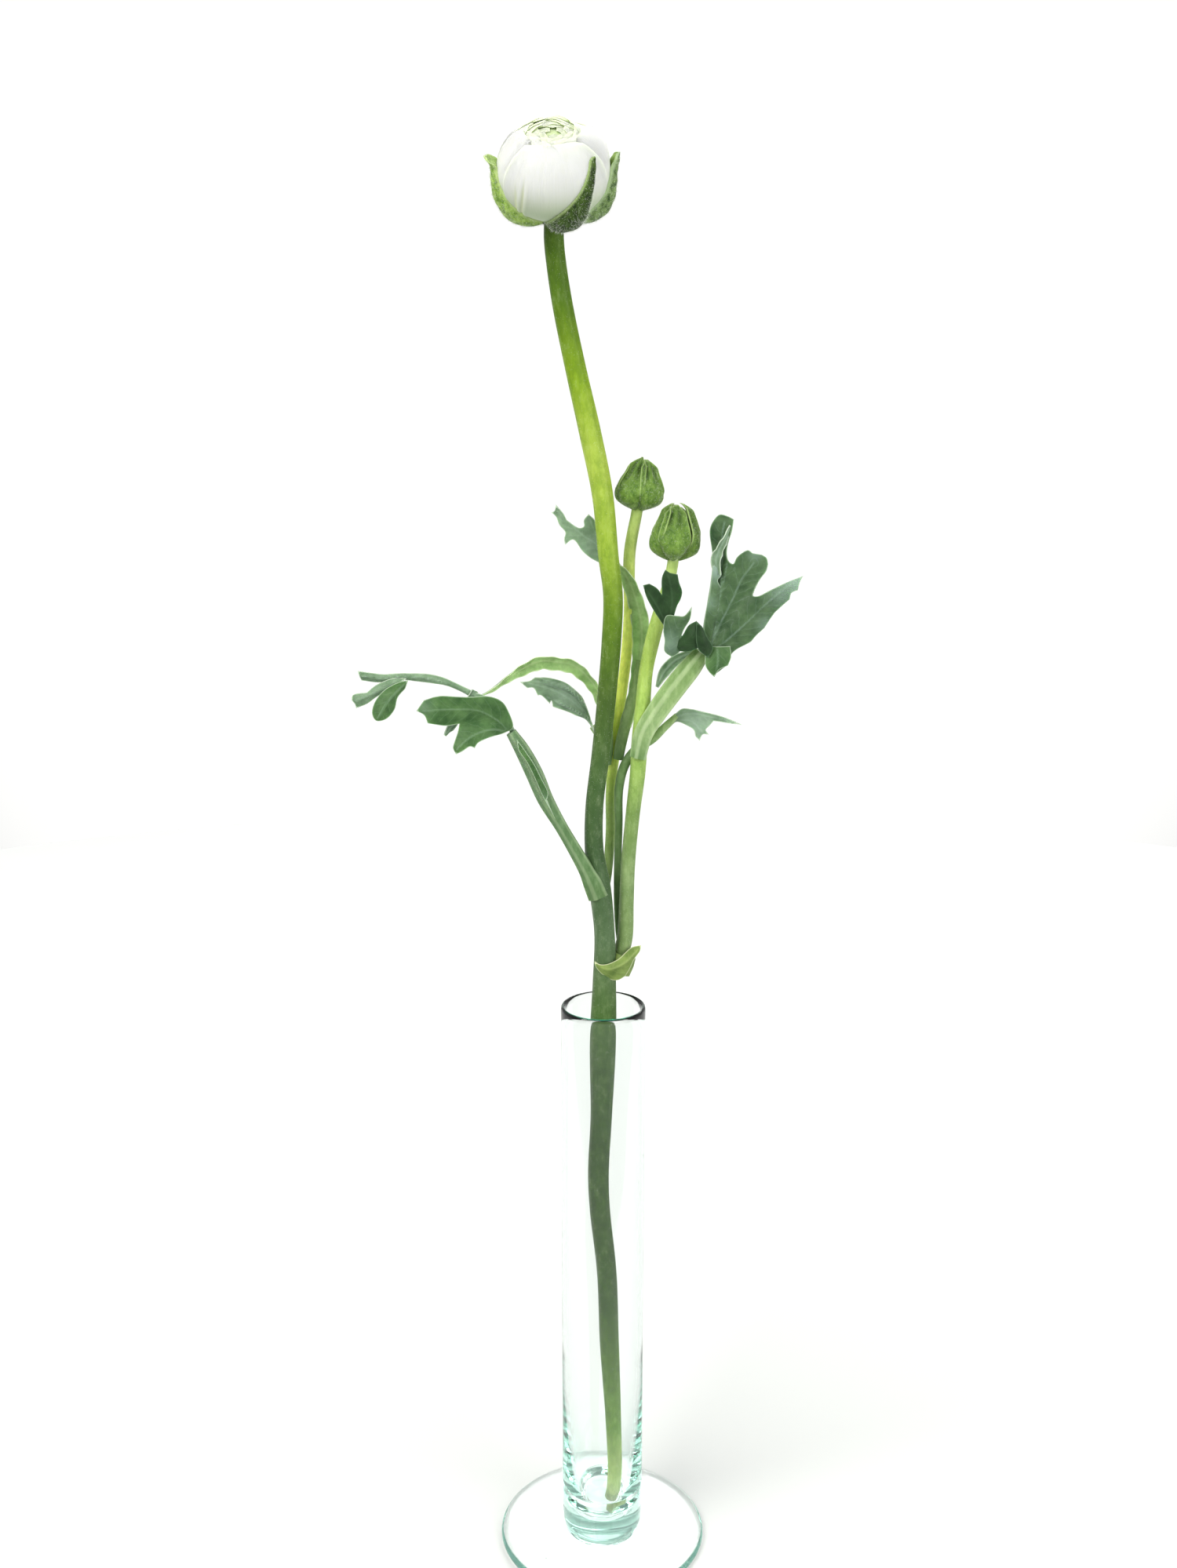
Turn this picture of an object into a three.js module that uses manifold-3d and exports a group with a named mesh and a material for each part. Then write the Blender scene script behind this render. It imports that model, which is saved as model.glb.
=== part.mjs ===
// A white ranunculus with two buds, standing in its tall glass tube vase.
// Millimetres, +Z up. The origin is the centre of the foot's underside.
// The open flower leans toward -Y; the leaves spread along X.
import * as THREE from 'three';
import { mergeVertices } from 'three/addons/utils/BufferGeometryUtils.js';
import Module from 'manifold-3d';

const wasm = await Module();
wasm.setup();

// ---- Driving dimensions -------------------------------------------------
const FOOT_RADIUS = 36.8;
const FOOT_THICKNESS = 3;
const TUBE_RADIUS = 14.4;
const TUBE_WALL = 1.8;
const VASE_HEIGHT = 204.5;
const FLOOR_HEIGHT = 9.5; // inside floor of the tube
const WATER_LEVEL = 19;
const GAP = 0.3; // clearance between a piece and what carries it
const BLADE = 0.8; // thickness of leaf blades
const PETAL = 0.7; // thickness of petals
const BALL_RADIUS = 17.3; // outer radius of the petal ball
const BALL_SQUASH = 0.84; // its height against its width
const BALL_CENTRE = [-15.5, -6, 471.4];
const BALL_TILT = 37; // degrees the open flower leans toward the front
const BUD_RADIUS = 7.8;
const BUD_HEIGHT = 16.8;

const rad = THREE.MathUtils.degToRad;
const vec = (x, y, z) => new THREE.Vector3(x, y, z);

// ---- Closed surfaces ----------------------------------------------------
// A solid from points and triangles, turned outward if its volume is negative.
function solid(points, triangles) {
  const geometry = new THREE.BufferGeometry();
  const flat = points.flatMap((p) => [p.x, p.y, p.z]);
  geometry.setAttribute('position', new THREE.Float32BufferAttribute(flat, 3));
  let volume = 0;
  for (const [a, b, c] of triangles) {
    volume += points[a].dot(vec(0, 0, 0).crossVectors(points[b], points[c]));
  }
  const faces = volume < 0 ? triangles.map(([a, b, c]) => [a, c, b]) : triangles;
  geometry.setIndex(faces.flat());
  return fromGeometry(geometry);
}

function fromGeometry(source) {
  const bare = source.clone();
  bare.deleteAttribute('normal');
  bare.deleteAttribute('uv');
  const merged = mergeVertices(bare, 1e-5);
  const mesh = new wasm.Mesh({
    numProp: 3,
    vertProperties: new Float32Array(merged.getAttribute('position').array),
    triVerts: new Uint32Array(merged.getIndex().array),
  });
  return new wasm.Manifold(mesh);
}

const fuse = (parts) => parts.reduce((whole, piece) => whole.add(piece));
const cut = (whole, tools) => tools.reduce((left, tool) => left.subtract(tool), whole);

// The largest connected skin of a solid, so no crumbs or inner skins remain.
function toGeometry(manifold) {
  const mesh = manifold.getMesh();
  const index = mesh.triVerts;
  const count = mesh.vertProperties.length / mesh.numProp;
  const at = (i) => vec(...mesh.vertProperties.slice(i * mesh.numProp, i * mesh.numProp + 3));
  const owner = Array.from({ length: count }, (_, i) => i);
  const find = (i) => {
    while (owner[i] !== i) {
      owner[i] = owner[owner[i]];
      i = owner[i];
    }
    return i;
  };
  for (let t = 0; t < index.length; t += 3) {
    owner[find(index[t])] = find(index[t + 1]);
    owner[find(index[t + 1])] = find(index[t + 2]);
  }
  const volumes = new Map();
  for (let t = 0; t < index.length; t += 3) {
    const [a, b, c] = [at(index[t]), at(index[t + 1]), at(index[t + 2])];
    const root = find(index[t]);
    volumes.set(root, (volumes.get(root) || 0) + a.dot(b.cross(c)));
  }
  const largest = [...volumes.entries()].sort((p, q) => q[1] - p[1])[0][0];
  const kept = [];
  for (let t = 0; t < index.length; t += 3) {
    if (find(index[t]) === largest) kept.push(index[t], index[t + 1], index[t + 2]);
  }
  const used = new Map();
  const positions = [];
  const renumbered = kept.map((i) => {
    if (!used.has(i)) {
      used.set(i, used.size);
      positions.push(...at(i).toArray());
    }
    return used.get(i);
  });
  const geometry = new THREE.BufferGeometry();
  geometry.setAttribute('position', new THREE.Float32BufferAttribute(positions, 3));
  geometry.setIndex(renumbered);
  geometry.computeVertexNormals();
  return geometry;
}

// A closed body through rings of equal length, with a fan over each end.
function skin(rings) {
  const n = rings[0].length;
  const points = rings.flat();
  const triangles = [];
  for (let i = 0; i + 1 < rings.length; i += 1) {
    for (let j = 0; j < n; j += 1) {
      const a = i * n + j;
      const b = i * n + ((j + 1) % n);
      triangles.push([a, b, a + n], [b, b + n, a + n]);
    }
  }
  for (const [row, turned] of [[0, true], [rings.length - 1, false]]) {
    const middle = vec(0, 0, 0);
    rings[row].forEach((p) => middle.addScaledVector(p, 1 / n));
    points.push(middle);
    const centre = points.length - 1;
    for (let j = 0; j < n; j += 1) {
      const a = row * n + j;
      const b = row * n + ((j + 1) % n);
      triangles.push(turned ? [b, a, centre] : [a, b, centre]);
    }
  }
  return solid(points, triangles);
}

// A thin closed body between two grids of points, split alike on both faces.
function shell(upper, lower) {
  const rows = upper.length;
  const cols = upper[0].length;
  const points = [...upper.flat(), ...lower.flat()];
  const half = rows * cols;
  const triangles = [];
  for (let i = 0; i + 1 < rows; i += 1) {
    for (let j = 0; j + 1 < cols; j += 1) {
      const a = i * cols + j;
      const b = a + 1;
      const c = a + cols;
      const d = c + 1;
      triangles.push([a, b, c], [b, d, c]);
      triangles.push([half + a, half + c, half + b], [half + b, half + c, half + d]);
    }
  }
  const border = [];
  for (let j = 0; j < cols; j += 1) border.push(j);
  for (let i = 1; i < rows; i += 1) border.push(i * cols + cols - 1);
  for (let j = cols - 2; j >= 0; j -= 1) border.push((rows - 1) * cols + j);
  for (let i = rows - 2; i > 0; i -= 1) border.push(i * cols);
  border.forEach((a, k) => {
    const b = border[(k + 1) % border.length];
    triangles.push([b, a, half + a], [b, half + a, half + b]);
  });
  return solid(points, triangles);
}

// A blade of even thickness around a grid of points.
function sheet(grid, thickness) {
  const rows = grid.length;
  const cols = grid[0].length;
  const normal = (i, j) => {
    const along = vec(0, 0, 0).subVectors(
      grid[Math.min(i + 1, rows - 1)][j], grid[Math.max(i - 1, 0)][j]);
    const across = vec(0, 0, 0).subVectors(
      grid[i][Math.min(j + 1, cols - 1)], grid[i][Math.max(j - 1, 0)]);
    return along.cross(across).normalize();
  };
  const offset = (side) => grid.map((row, i) => row.map(
    (p, j) => p.clone().addScaledVector(normal(i, j), side * thickness)));
  return shell(offset(0.5), offset(-0.5));
}

// ---- Stems, stalks and leaf lobes ---------------------------------------
// Samples a smooth line through rows of [x, y, z, width, turn]. Each sample
// has its point, the direction along, across and through the piece, its half
// width, and how far along it is from 0 to 1. Turn 0 faces the front.
function follow(rows, steps) {
  const curve = new THREE.CatmullRomCurve3(
    rows.map((r) => vec(r[0], r[1], r[2])), false, 'centripetal');
  const last = rows.length - 1;
  const mix = (k, t) => {
    const i = Math.min(Math.floor(t * last), last - 1);
    const f = t * last - i;
    return (rows[i][k] || 0) * (1 - f) + (rows[i + 1][k] || 0) * f;
  };
  const samples = [];
  for (let s = 0; s <= steps; s += 1) {
    const t = s / steps;
    const along = curve.getTangent(t);
    const turn = rad(mix(4, t));
    const flatAcross = vec(0, 0, 0).crossVectors(along, vec(0, 1, 0)).normalize();
    const depth = vec(0, 0, 0).crossVectors(flatAcross, along).normalize();
    const across = flatAcross.clone().multiplyScalar(Math.cos(turn))
      .addScaledVector(depth, Math.sin(turn));
    const through = vec(0, 0, 0).crossVectors(across, along).normalize();
    samples.push({ point: curve.getPoint(t), along, across, through, half: mix(3, t), t });
  }
  return samples;
}

// A stem: round, or flattened to the given share of its width. The extra
// makes it larger all over, ends too, to cut a clear seat in a neighbour.
function stem(rows, steps, sides, flatness = 1, extra = 0) {
  return skin(follow(rows, steps).map((s, i) => {
    const ring = [];
    if (i === 0) s.point.addScaledVector(s.along, -extra);
    if (i === steps) s.point.addScaledVector(s.along, extra);
    for (let k = 0; k < sides; k += 1) {
      const a = (2 * Math.PI * k) / sides;
      ring.push(s.point.clone()
        .addScaledVector(s.across, (s.half + extra) * Math.cos(a))
        .addScaledVector(s.through, (s.half * flatness + extra) * Math.sin(a)));
    }
    return ring;
  }));
}

// One leaf lobe: a cupped blade along its line, with toothed sides.
function lobe(rows, steps, { cup = 0.25, teeth = 0.14, from = 0.35 } = {}) {
  const wide = rows.some((r) => r[3] > 2.7);
  const columns = wide ? [-1, -0.5, 0, 0.5, 1] : [-1, 0, 1];
  const grid = follow(rows, steps).map((s, i) => {
    const tooth = s.t > from ? teeth * (i % 2 ? 1 : -1) : 0;
    const half = Math.max(s.half * (1 + tooth), 0.4);
    return columns.map((u) => s.point.clone()
      .addScaledVector(s.across, half * u)
      .addScaledVector(s.through, half * cup * (0.5 - u * u)));
  });
  return sheet(grid, BLADE);
}

const leaf = (stalks, lobes) => fuse([...stalks, ...lobes]);

// ---- Vase and water -----------------------------------------------------
const inner = TUBE_RADIUS - TUBE_WALL;
const bore = [
  [0, FLOOR_HEIGHT], [5, FLOOR_HEIGHT + 0.8], [8, FLOOR_HEIGHT + 4],
  [9.3, FLOOR_HEIGHT + 10], [11, FLOOR_HEIGHT + 25], [12.1, FLOOR_HEIGHT + 42], [inner, 75],
];
const rim = [
  [inner, VASE_HEIGHT - 1.4], [inner + 0.3, VASE_HEIGHT - 0.4], [inner + 0.9, VASE_HEIGHT],
  [TUBE_RADIUS - 0.3, VASE_HEIGHT - 0.4], [TUBE_RADIUS, VASE_HEIGHT - 1.4],
];
const footing = [
  [TUBE_RADIUS - 0.2, 9], [TUBE_RADIUS - 0.5, 5.6], [TUBE_RADIUS - 1.6, 4.2],
  [TUBE_RADIUS - 0.6, FOOT_THICKNESS + 0.4], [TUBE_RADIUS + 1.6, FOOT_THICKNESS],
  [FOOT_RADIUS - 1.5, FOOT_THICKNESS - 0.3], [FOOT_RADIUS - 0.3, FOOT_THICKNESS - 0.9],
  [FOOT_RADIUS, FOOT_THICKNESS / 2], [FOOT_RADIUS - 0.3, 0.5], [FOOT_RADIUS - 1.2, 0], [0, 0],
];
const turned = (rows, sides) => {
  const outline = rows.map(([r, z]) => new THREE.Vector2(r, z)).reverse();
  return fromGeometry(new THREE.LatheGeometry(outline, sides).rotateX(Math.PI / 2));
};
const vase = turned([...bore, ...rim, ...footing], 32);

const water = turned([
  [0, WATER_LEVEL], [8.75, WATER_LEVEL], [8.3, WATER_LEVEL - 2],
  [7.6, FLOOR_HEIGHT + 4 + GAP], [4.8, FLOOR_HEIGHT + 0.8 + GAP], [0, FLOOR_HEIGHT + GAP],
], 20);

// ---- Stems --------------------------------------------------------------
const MAIN = [
  [3.4, -2.2, 13, 2.4], [4.6, -2.6, 25.5, 2.6], [4, -1.8, 47, 2.8], [2.5, 0, 77, 3.4],
  [1.5, 2, 104, 3.5], [-1, 3.5, 127.5, 3.6], [-1.5, 4, 140.5, 3.7], [-0.5, 5, 162.5, 3.8],
  [0, 6, 188, 4.6], [0.5, 7, 210.5, 4], [0.5, 7.5, 227.5, 3.5], [-1, 7.5, 243, 3.7],
  [-3, 8, 256.5, 3.2], [-3, 8, 271.5, 3], [-1, 8.5, 289, 3], [1, 8.5, 308.5, 3.1],
  [2.5, 8, 327, 3.2], [3, 8, 342.5, 3.2], [1.5, 8, 355, 3.3], [-0.5, 7.5, 375, 3.4],
  [-4.5, 7, 394.5, 3.5], [-9, 6.5, 414, 3.3], [-13, 6, 433, 3.2], [-15, 5.6, 446, 3.1],
  [-15.6, 4.6, 452.5, 3.1], [-15.5, 3.3, 457.8, 3.1],
];
const SIDE_RIGHT = [
  [4, 10, 211, 2.4], [5.5, 11, 216.5, 2.7], [7.5, 11, 225, 2.7], [8, 11, 237.5, 2.5],
  [8.5, 11, 251.5, 2.4], [10, 11, 269, 2.4], [11.5, 10.5, 283, 2.6], [12, 10.5, 292.5, 2.7],
  [13, 10, 305.5, 2.5], [14, 10, 317.5, 2.3], [16, 9.5, 327.5, 2.4], [18.5, 9.5, 337, 2.3],
  [21, 9, 346, 1.9], [22.3, 8, 353, 1.8], [22.6, 7.6, 356.5, 1.8],
];
const SIDE_BACK = [
  [0, 13, 238, 1.5], [1.5, 16, 247, 1.6], [2.5, 18, 260.5, 1.6], [2.5, 18, 274.5, 1.6],
  [4, 18, 291, 2], [5.5, 18, 304, 1.8], [7.5, 17.5, 320.5, 1.8], [8.5, 17, 336, 1.8],
  [8.5, 16, 355.5, 1.9], [10.6, 15.2, 368, 1.8], [11.2, 15, 371.5, 1.8],
];
const mainStem = stem(MAIN, 40, 10);
const mainFat = stem(MAIN, 40, 10, 1, GAP);
const rightStem = stem(SIDE_RIGHT, 24, 8);
const rightFat = stem(SIDE_RIGHT, 24, 8, 1, GAP);
const backStem = stem(SIDE_BACK, 18, 8);
const backFat = stem(SIDE_BACK, 18, 8, 1, GAP);

// The bract clasps the foot of the right side stem.
const bract = cut(fuse([
  lobe([[-2.6, 3.4, 214, 2.2, 0], [1.5, 2.9, 215.5, 3.4, 0], [6.5, 4.6, 217.5, 3.8, 0],
    [10.6, 7.6, 219.6, 2.6, 0], [13, 9, 221.5, 0.6, 0]], 7, { cup: -0.3, teeth: 0 }),
  stem([[5.5, 8.4, 212.5, 3.6], [6.2, 9.2, 216, 4.4], [7.2, 9.8, 219, 4.2]], 3, 10),
]), [mainFat, rightFat]);

// ---- Leaves -------------------------------------------------------------
const lowerLeft = cut(leaf([
  stem([[-1.5, 5.5, 241, 3.4], [-3.4, 5, 246, 3.2], [-5.5, 4.5, 250.5, 2.6], [-10, 3.5, 259, 2.2],
    [-14, 2, 266.5, 2.1], [-19, 0.5, 276, 2.6], [-22.5, -1, 285, 2.8], [-26.5, -2.5, 293.5, 2.4],
    [-30, -3.5, 299.5, 1.7]], 14, 8, 0.6),
], [
  lobe([[-28.5, -3, 296.5, 1.8, 20], [-31, -3.5, 304.5, 2, 35], [-34, -4, 309, 2, 50],
    [-41.5, -4, 313.5, 1.8, 60], [-48.5, -3.5, 316, 1.8, 60], [-56.5, -3, 317.5, 1.6, 55],
    [-64, -2.5, 317.5, 1.6, 50], [-69, -2, 317, 1.5, 45]], 14, { teeth: 0.06 }),
  lobe([[-66, -2.1, 317, 1.5, 45], [-72.5, -1.5, 317.5, 1.8, 30], [-76.5, -1, 318, 1.8, 20],
    [-79.5, -1, 318.5, 1, 10]], 5),
  lobe([[-63.5, -2.6, 317, 1.3, 40], [-70.5, -3, 314, 1.8, 30], [-76.5, -3.5, 311, 2.3, 15],
    [-79.5, -4, 309.5, 2, 0], [-81.5, -4, 308.5, 1, 0]], 8),
  lobe([[-60.5, -2.9, 317.2, 1.5, 50], [-66, -6, 314.5, 2.3, 35], [-69, -7.5, 311, 3.3, 15],
    [-70.5, -8, 307, 3.3, 0], [-71.5, -8, 304.5, 1.3, 0]], 8),
  lobe([[-29.5, -3.6, 298.5, 1.5, 0], [-35, -6, 304.5, 3.3, 10], [-40.5, -7.5, 307.5, 4.5, 15],
    [-46.5, -8.5, 308, 4.8, 10], [-52, -9, 308, 4.5, 5], [-56, -9, 307.5, 3.5, 0],
    [-59.5, -9, 307.5, 1.3, 0]], 12),
  lobe([[-29.6, -3.8, 299, 1.5, -10], [-35.5, -6.7, 301, 3.8, -15], [-40.5, -8, 300, 5, -20],
    [-44, -9, 298, 4.6, -20], [-46.8, -9.6, 295.6, 3.2, -15], [-48.3, -9.8, 294, 1.2, -10]], 9,
  { from: 0.6 }),
  lobe([[-41.5, -4, 313.2, 1.2, 20], [-45, -3.9, 307, 1.3, 20], [-48, -3.7, 303, 1.3, 20],
    [-50.5, -4, 300, 1, 20], [-51.5, -4, 298.5, 0.5, 20]], 6),
]), [mainFat]);

const midLeft = cut(leaf([
  stem([[1.3, 16.2, 284.5, 1.4], [1.8, 15.8, 291, 1.5], [1.2, 15.4, 300, 1.5],
    [-2, 15, 309.5, 1.3]], 6, 8, 0.6),
], [
  lobe([[1.8, 15.7, 293, 1.7, 50], [1, 15.4, 300.5, 2.1, 50], [-2, 15, 309.5, 2.4, 45],
    [-5, 14.5, 314, 2.6, 40], [-10, 13, 318.5, 2.8, 30], [-16, 11, 320, 2.8, 30],
    [-21, 9, 320.5, 2.7, 30], [-27.5, 6.5, 318, 2.2, 35], [-32.5, 4.5, 315, 1.5, 50],
    [-37, 2.5, 312, 1, 60], [-40.5, 1.5, 310.5, 0.5, 70]], 18, { cup: 0.5, teeth: 0 }),
]), [mainFat, backFat]);

const backLeft = cut(leaf([
  stem([[2.2, 20.8, 283.5, 1.4], [1.6, 21, 288, 1.5], [-0.5, 20.4, 292.5, 1.5],
    [-3.5, 19.6, 297, 1.3]], 5, 8, 0.6),
], [
  lobe([[-0.2, 20.5, 292, 1.6, 30], [-3.5, 19.5, 297, 2, 25], [-7, 19, 303, 3, 20],
    [-12, 18.5, 307.5, 4.2, 15], [-18, 18, 310, 3.5, 10], [-23, 17.5, 312, 2.4, 5],
    [-27.5, 17.5, 313, 0.8, 0]], 13),
]), [backFat, mainFat]);

const upperLeft = cut(leaf([
  stem([[5, 15, 286.5, 1.7], [6, 14.9, 292.5, 1.9], [7.8, 14.7, 300, 1.9], [10.5, 15, 309.5, 1.7],
    [12, 15, 320, 1.3]], 7, 8, 0.6),
], [
  lobe([[7.4, 14.7, 298, 2.1, 20], [10.5, 15, 309.5, 2.3, 30], [12, 15.2, 320, 2.7, 30],
    [12.5, 14.8, 330.5, 3.2, 25], [10.5, 14.2, 340.5, 2.8, 25], [7, 13.5, 348.5, 2.4, 30],
    [3, 13, 353, 2.8, 20], [-1.5, 12.5, 358, 4.1, 10], [-6.5, 12, 361.5, 3.8, 5],
    [-10.5, 11.5, 363.5, 2.5, 0], [-14, 11, 367, 1.6, 0], [-15.5, 11, 371, 0.5, 0]],
  22, { from: 0.7 }),
  lobe([[-1.5, 12.2, 358.5, 2.3, -20], [-3, 11.2, 364.5, 2, -20], [-4.5, 10.5, 367, 1.7, -10],
    [-5, 10.5, 368.8, 0.8, 0]], 5),
  lobe([[-8.5, 11.7, 362, 1, 0], [-11.5, 11, 360.8, 0.9, 0], [-12.8, 10.6, 358.9, 0.5, 0]], 4),
]), [backFat, mainFat]);

const right = cut(leaf([
  stem([[11.5, 8, 288.5, 2.6], [13.5, 7.5, 297, 3.1], [17.5, 6.5, 304, 3.4], [24, 5, 313.5, 3.6],
    [28.5, 4, 319.5, 3.4], [32, 3, 324.5, 2.6]], 9, 10, 0.6),
], [
  lobe([[32, 3, 322, 2.4, 10], [35, 2.5, 331.5, 3.8, 15], [36.6, 2, 340.5, 4.4, 15],
    [37.6, 1.5, 349.5, 4, 20], [37.8, 1, 357, 2.8, 25], [37.6, 0.5, 363, 3, 15],
    [38, 0, 366.5, 2.5, 0], [38.5, -0.5, 368.7, 1, 0]], 12, { cup: 0.3, from: 0.6 }),
  lobe([[32, 2.6, 322, 3, -5], [37, 1.2, 333.5, 5.8, -5], [41, 0.4, 342, 6, -5],
    [44, -0.6, 349, 5.6, -5], [47.5, -1.6, 354, 4.3, -5], [49, -2.3, 357.2, 2.2, 0]], 11,
  { from: 0.7 }),
  lobe([[31, 2.2, 322.5, 3, -15], [39, 0.6, 328.6, 5.8, -15], [45.2, -1, 334.6, 6.2, -15],
    [51, -2, 340.5, 4.6, -15], [56, -3, 345, 2.8, -10], [60, -3.5, 348, 1.6, 0],
    [63, -4, 350.2, 0.5, 0]], 13, { from: 0.55 }),
  lobe([[31, 2.6, 328, 1.8, 0], [34, 0.5, 323, 3.5, 0], [35.5, -0.5, 319.5, 2.6, 0],
    [36, -1, 317, 0.8, 0]], 6),
  lobe([[26.5, 0.2, 327, 1.2, 10], [20.8, 1.8, 331.5, 1.4, 0], [18, 2, 337, 2, 0],
    [16, 1.5, 341.5, 2.4, 0], [14, 1.5, 344.5, 1.8, 0], [12.5, 1.5, 346.5, 0.6, 0]], 8),
  lobe([[25.5, 0.4, 328, 1.2, 10], [21, 1.6, 333, 1.2, 0], [21.5, 2, 338, 2.4, 0],
    [22, 1.6, 343.5, 3.2, 0], [21.5, 1.3, 347.5, 2.9, 0], [20.5, 1.2, 350, 2, 0],
    [20, 1.2, 351.7, 0.8, 0]], 9),
  lobe([[32, 2.2, 324.5, 1.6, 10], [28, 0.5, 326.5, 2.5, 25], [23.5, -1, 328.5, 3.5, 30],
    [20.5, -1.5, 332, 3.3, 20], [19.5, -1, 334, 1.5, 10]], 8),
  lobe([[31, 1.2, 325.5, 1.8, -10], [27.5, -1.5, 330.5, 2.4, -20], [27, -2.5, 335, 1.9, -25],
    [28, -3, 340, 0.5, -10]], 7),
  lobe([[32.5, 1.5, 324, 1.5, 20], [31, -2, 329.5, 2.4, 30], [29.5, -3, 333.5, 2.3, 30],
    [29, -3, 335.7, 1, 20]], 6),
]), [rightFat]);

const rightSmall = cut(leaf([
  stem([[6.5, 12.5, 219.5, 1.2], [5.5, 13.8, 226, 1.2], [5, 14.5, 236.5, 1.3],
    [5, 14.4, 250.5, 1.3], [5.3, 14, 264, 1.3], [5.3, 13, 277, 1.5], [7.2, 13, 285, 1.6],
    [11, 14.6, 290, 1.6], [16.5, 14, 293.8, 1.5], [20.5, 13, 298, 1.3],
    [24.5, 12, 302, 1.1]], 18, 8, 0.8),
], [
  lobe([[21.5, 12.6, 299.5, 1.3, 30], [27, 11.5, 303, 2.1, 20], [31.5, 10.5, 303.5, 1.8, 15],
    [36, 10, 303, 1.3, 10], [41.5, 9.5, 301.5, 1, 5], [46, 9, 300, 0.4, 0]], 10),
  lobe([[24, 12, 301.5, 1.6, 0], [28.5, 11, 301, 2.4, 0], [31.5, 10.5, 299, 2.7, 0],
    [33, 10, 296.5, 2.1, 0], [33, 10, 294.3, 1, 0]], 7),
]), [rightFat, backFat, mainFat, bract]);

// ---- Bloom --------------------------------------------------------------
// A point of the ball: polar and turn in degrees, the turn from the front.
const onBall = (polar, turn, radius) => vec(
  radius * Math.sin(rad(polar)) * Math.sin(rad(turn)),
  -radius * Math.sin(rad(polar)) * Math.cos(rad(turn)),
  radius * BALL_SQUASH * Math.cos(rad(polar)));
const placeBall = (p) => p.applyAxisAngle(vec(1, 0, 0), rad(BALL_TILT))
  .add(vec(...BALL_CENTRE));

// One petal: from the low polar angle up to its rim, lapped over its neighbour
// and thinning from its root to its rim.
function petal({ turn, spread, low, rim: top, radius, lap, root, cols, rows }) {
  const upper = [];
  const lower = [];
  for (let i = 0; i <= rows; i += 1) {
    const t = i / rows;
    const outside = [];
    const inside = [];
    for (let j = 0; j <= cols; j += 1) {
      const u = (2 * j) / cols - 1;
      const polar = low + (top + 12 * u * u - low) * t;
      const reach = turn + spread * (1 - 0.2 * t ** 4) * u;
      const thick = THREE.MathUtils.mapLinear(Math.min(polar, 60), 60, 30, root, PETAL);
      outside.push(placeBall(onBall(polar, reach, radius + lap * u)));
      inside.push(placeBall(onBall(polar, reach, radius + lap * u - Math.max(thick, PETAL))));
    }
    upper.push(outside);
    lower.push(inside);
  }
  return shell(upper, lower);
}

const OUTER = BALL_RADIUS - 0.35;
const LAYERS = [
  { turns: [5, 77, 149, 221, 293], rims: [27, 32, 36, 37, 31], spread: 52, low: 165,
    radius: OUTER, lap: 0.35, root: 1.4, cols: 6, rows: 6 },
  { turns: [40, 112, 184, 256, 328], rims: [22, 26, 30, 29, 24], spread: 50, low: 60,
    radius: OUTER - 1.5, lap: 0.2, root: 0.8, cols: 4, rows: 3 },
  { turns: [60, 150, 240, 335], rims: [16, 20, 19, 15], spread: 60, low: 46,
    radius: OUTER - 2.7, lap: 0.2, root: 0.8, cols: 4, rows: 3 },
  { turns: [0, 120, 240], rims: [6, 9, 8], spread: 66, low: 34,
    radius: OUTER - 3.9, lap: 0.2, root: 0.8, cols: 4, rows: 2 },
];
const CORE = [[172, 15.95], [155, 15.95], [135, 15.95], [110, 15.95], [85, 15.95], [60, 15.95],
  [50, 15.7], [42, 14.9], [34, 14.1], [26, 13.3], [14, 12.6]];
const heart = skin(CORE.map(([polar, radius]) => {
  const ring = [];
  for (let k = 0; k < 18; k += 1) ring.push(placeBall(onBall(polar, k * 20 + 7, radius)));
  return ring;
}));
const petals = fuse([heart, ...LAYERS.flatMap((layer) => layer.turns.map(
  (turn, i) => petal({ ...layer, turn, rim: layer.rims[i] })))]);

// Sepal rows: polar, turn, radius and half width in millimetres.
const SEPALS = [
  [[168, -50, 17.9, 2.2], [153, -60, 19.4, 4.5], [138, -66, 20.8, 6], [122, -74, 20.4, 6.2],
    [106, -82, 19, 5.2], [92, -87, 18.6, 4], [82, -89, 19.2, 3], [76, -90, 20.6, 2.3],
    [73, -90, 22, 1.7]],
  [[168, 10, 17.9, 2.2], [150, 14, 19.6, 4.8], [134, 19, 20.6, 5.8], [120, 23, 20.2, 6],
    [104, 28, 19.2, 5], [88, 35, 18.5, 3.4], [70, 44, 18.4, 2.2], [57, 52, 18.4, 1.4],
    [50, 56, 18.6, 0.9]],
  [[168, 60, 17.9, 2.2], [148, 72, 19.8, 4.6], [132, 78, 20.8, 5.6], [118, 84, 20, 5.2],
    [104, 90, 18.9, 3.8], [92, 93, 18.8, 2.6], [80, 95, 19.6, 1.7], [71, 95, 20.4, 1.1]],
  [[168, 150, 17.9, 2.2], [150, 150, 19.7, 4.8], [134, 150, 20.7, 5.8], [118, 150, 20, 5.6],
    [100, 150, 18.8, 4], [84, 150, 18.7, 2.6], [72, 150, 19.2, 1.4]],
  [[168, 225, 17.9, 2.2], [150, 225, 19.7, 4.8], [134, 225, 20.7, 5.8], [118, 225, 20, 5.6],
    [100, 225, 18.8, 4], [86, 225, 18.8, 2.6], [76, 225, 19.6, 1.4]],
];
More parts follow.
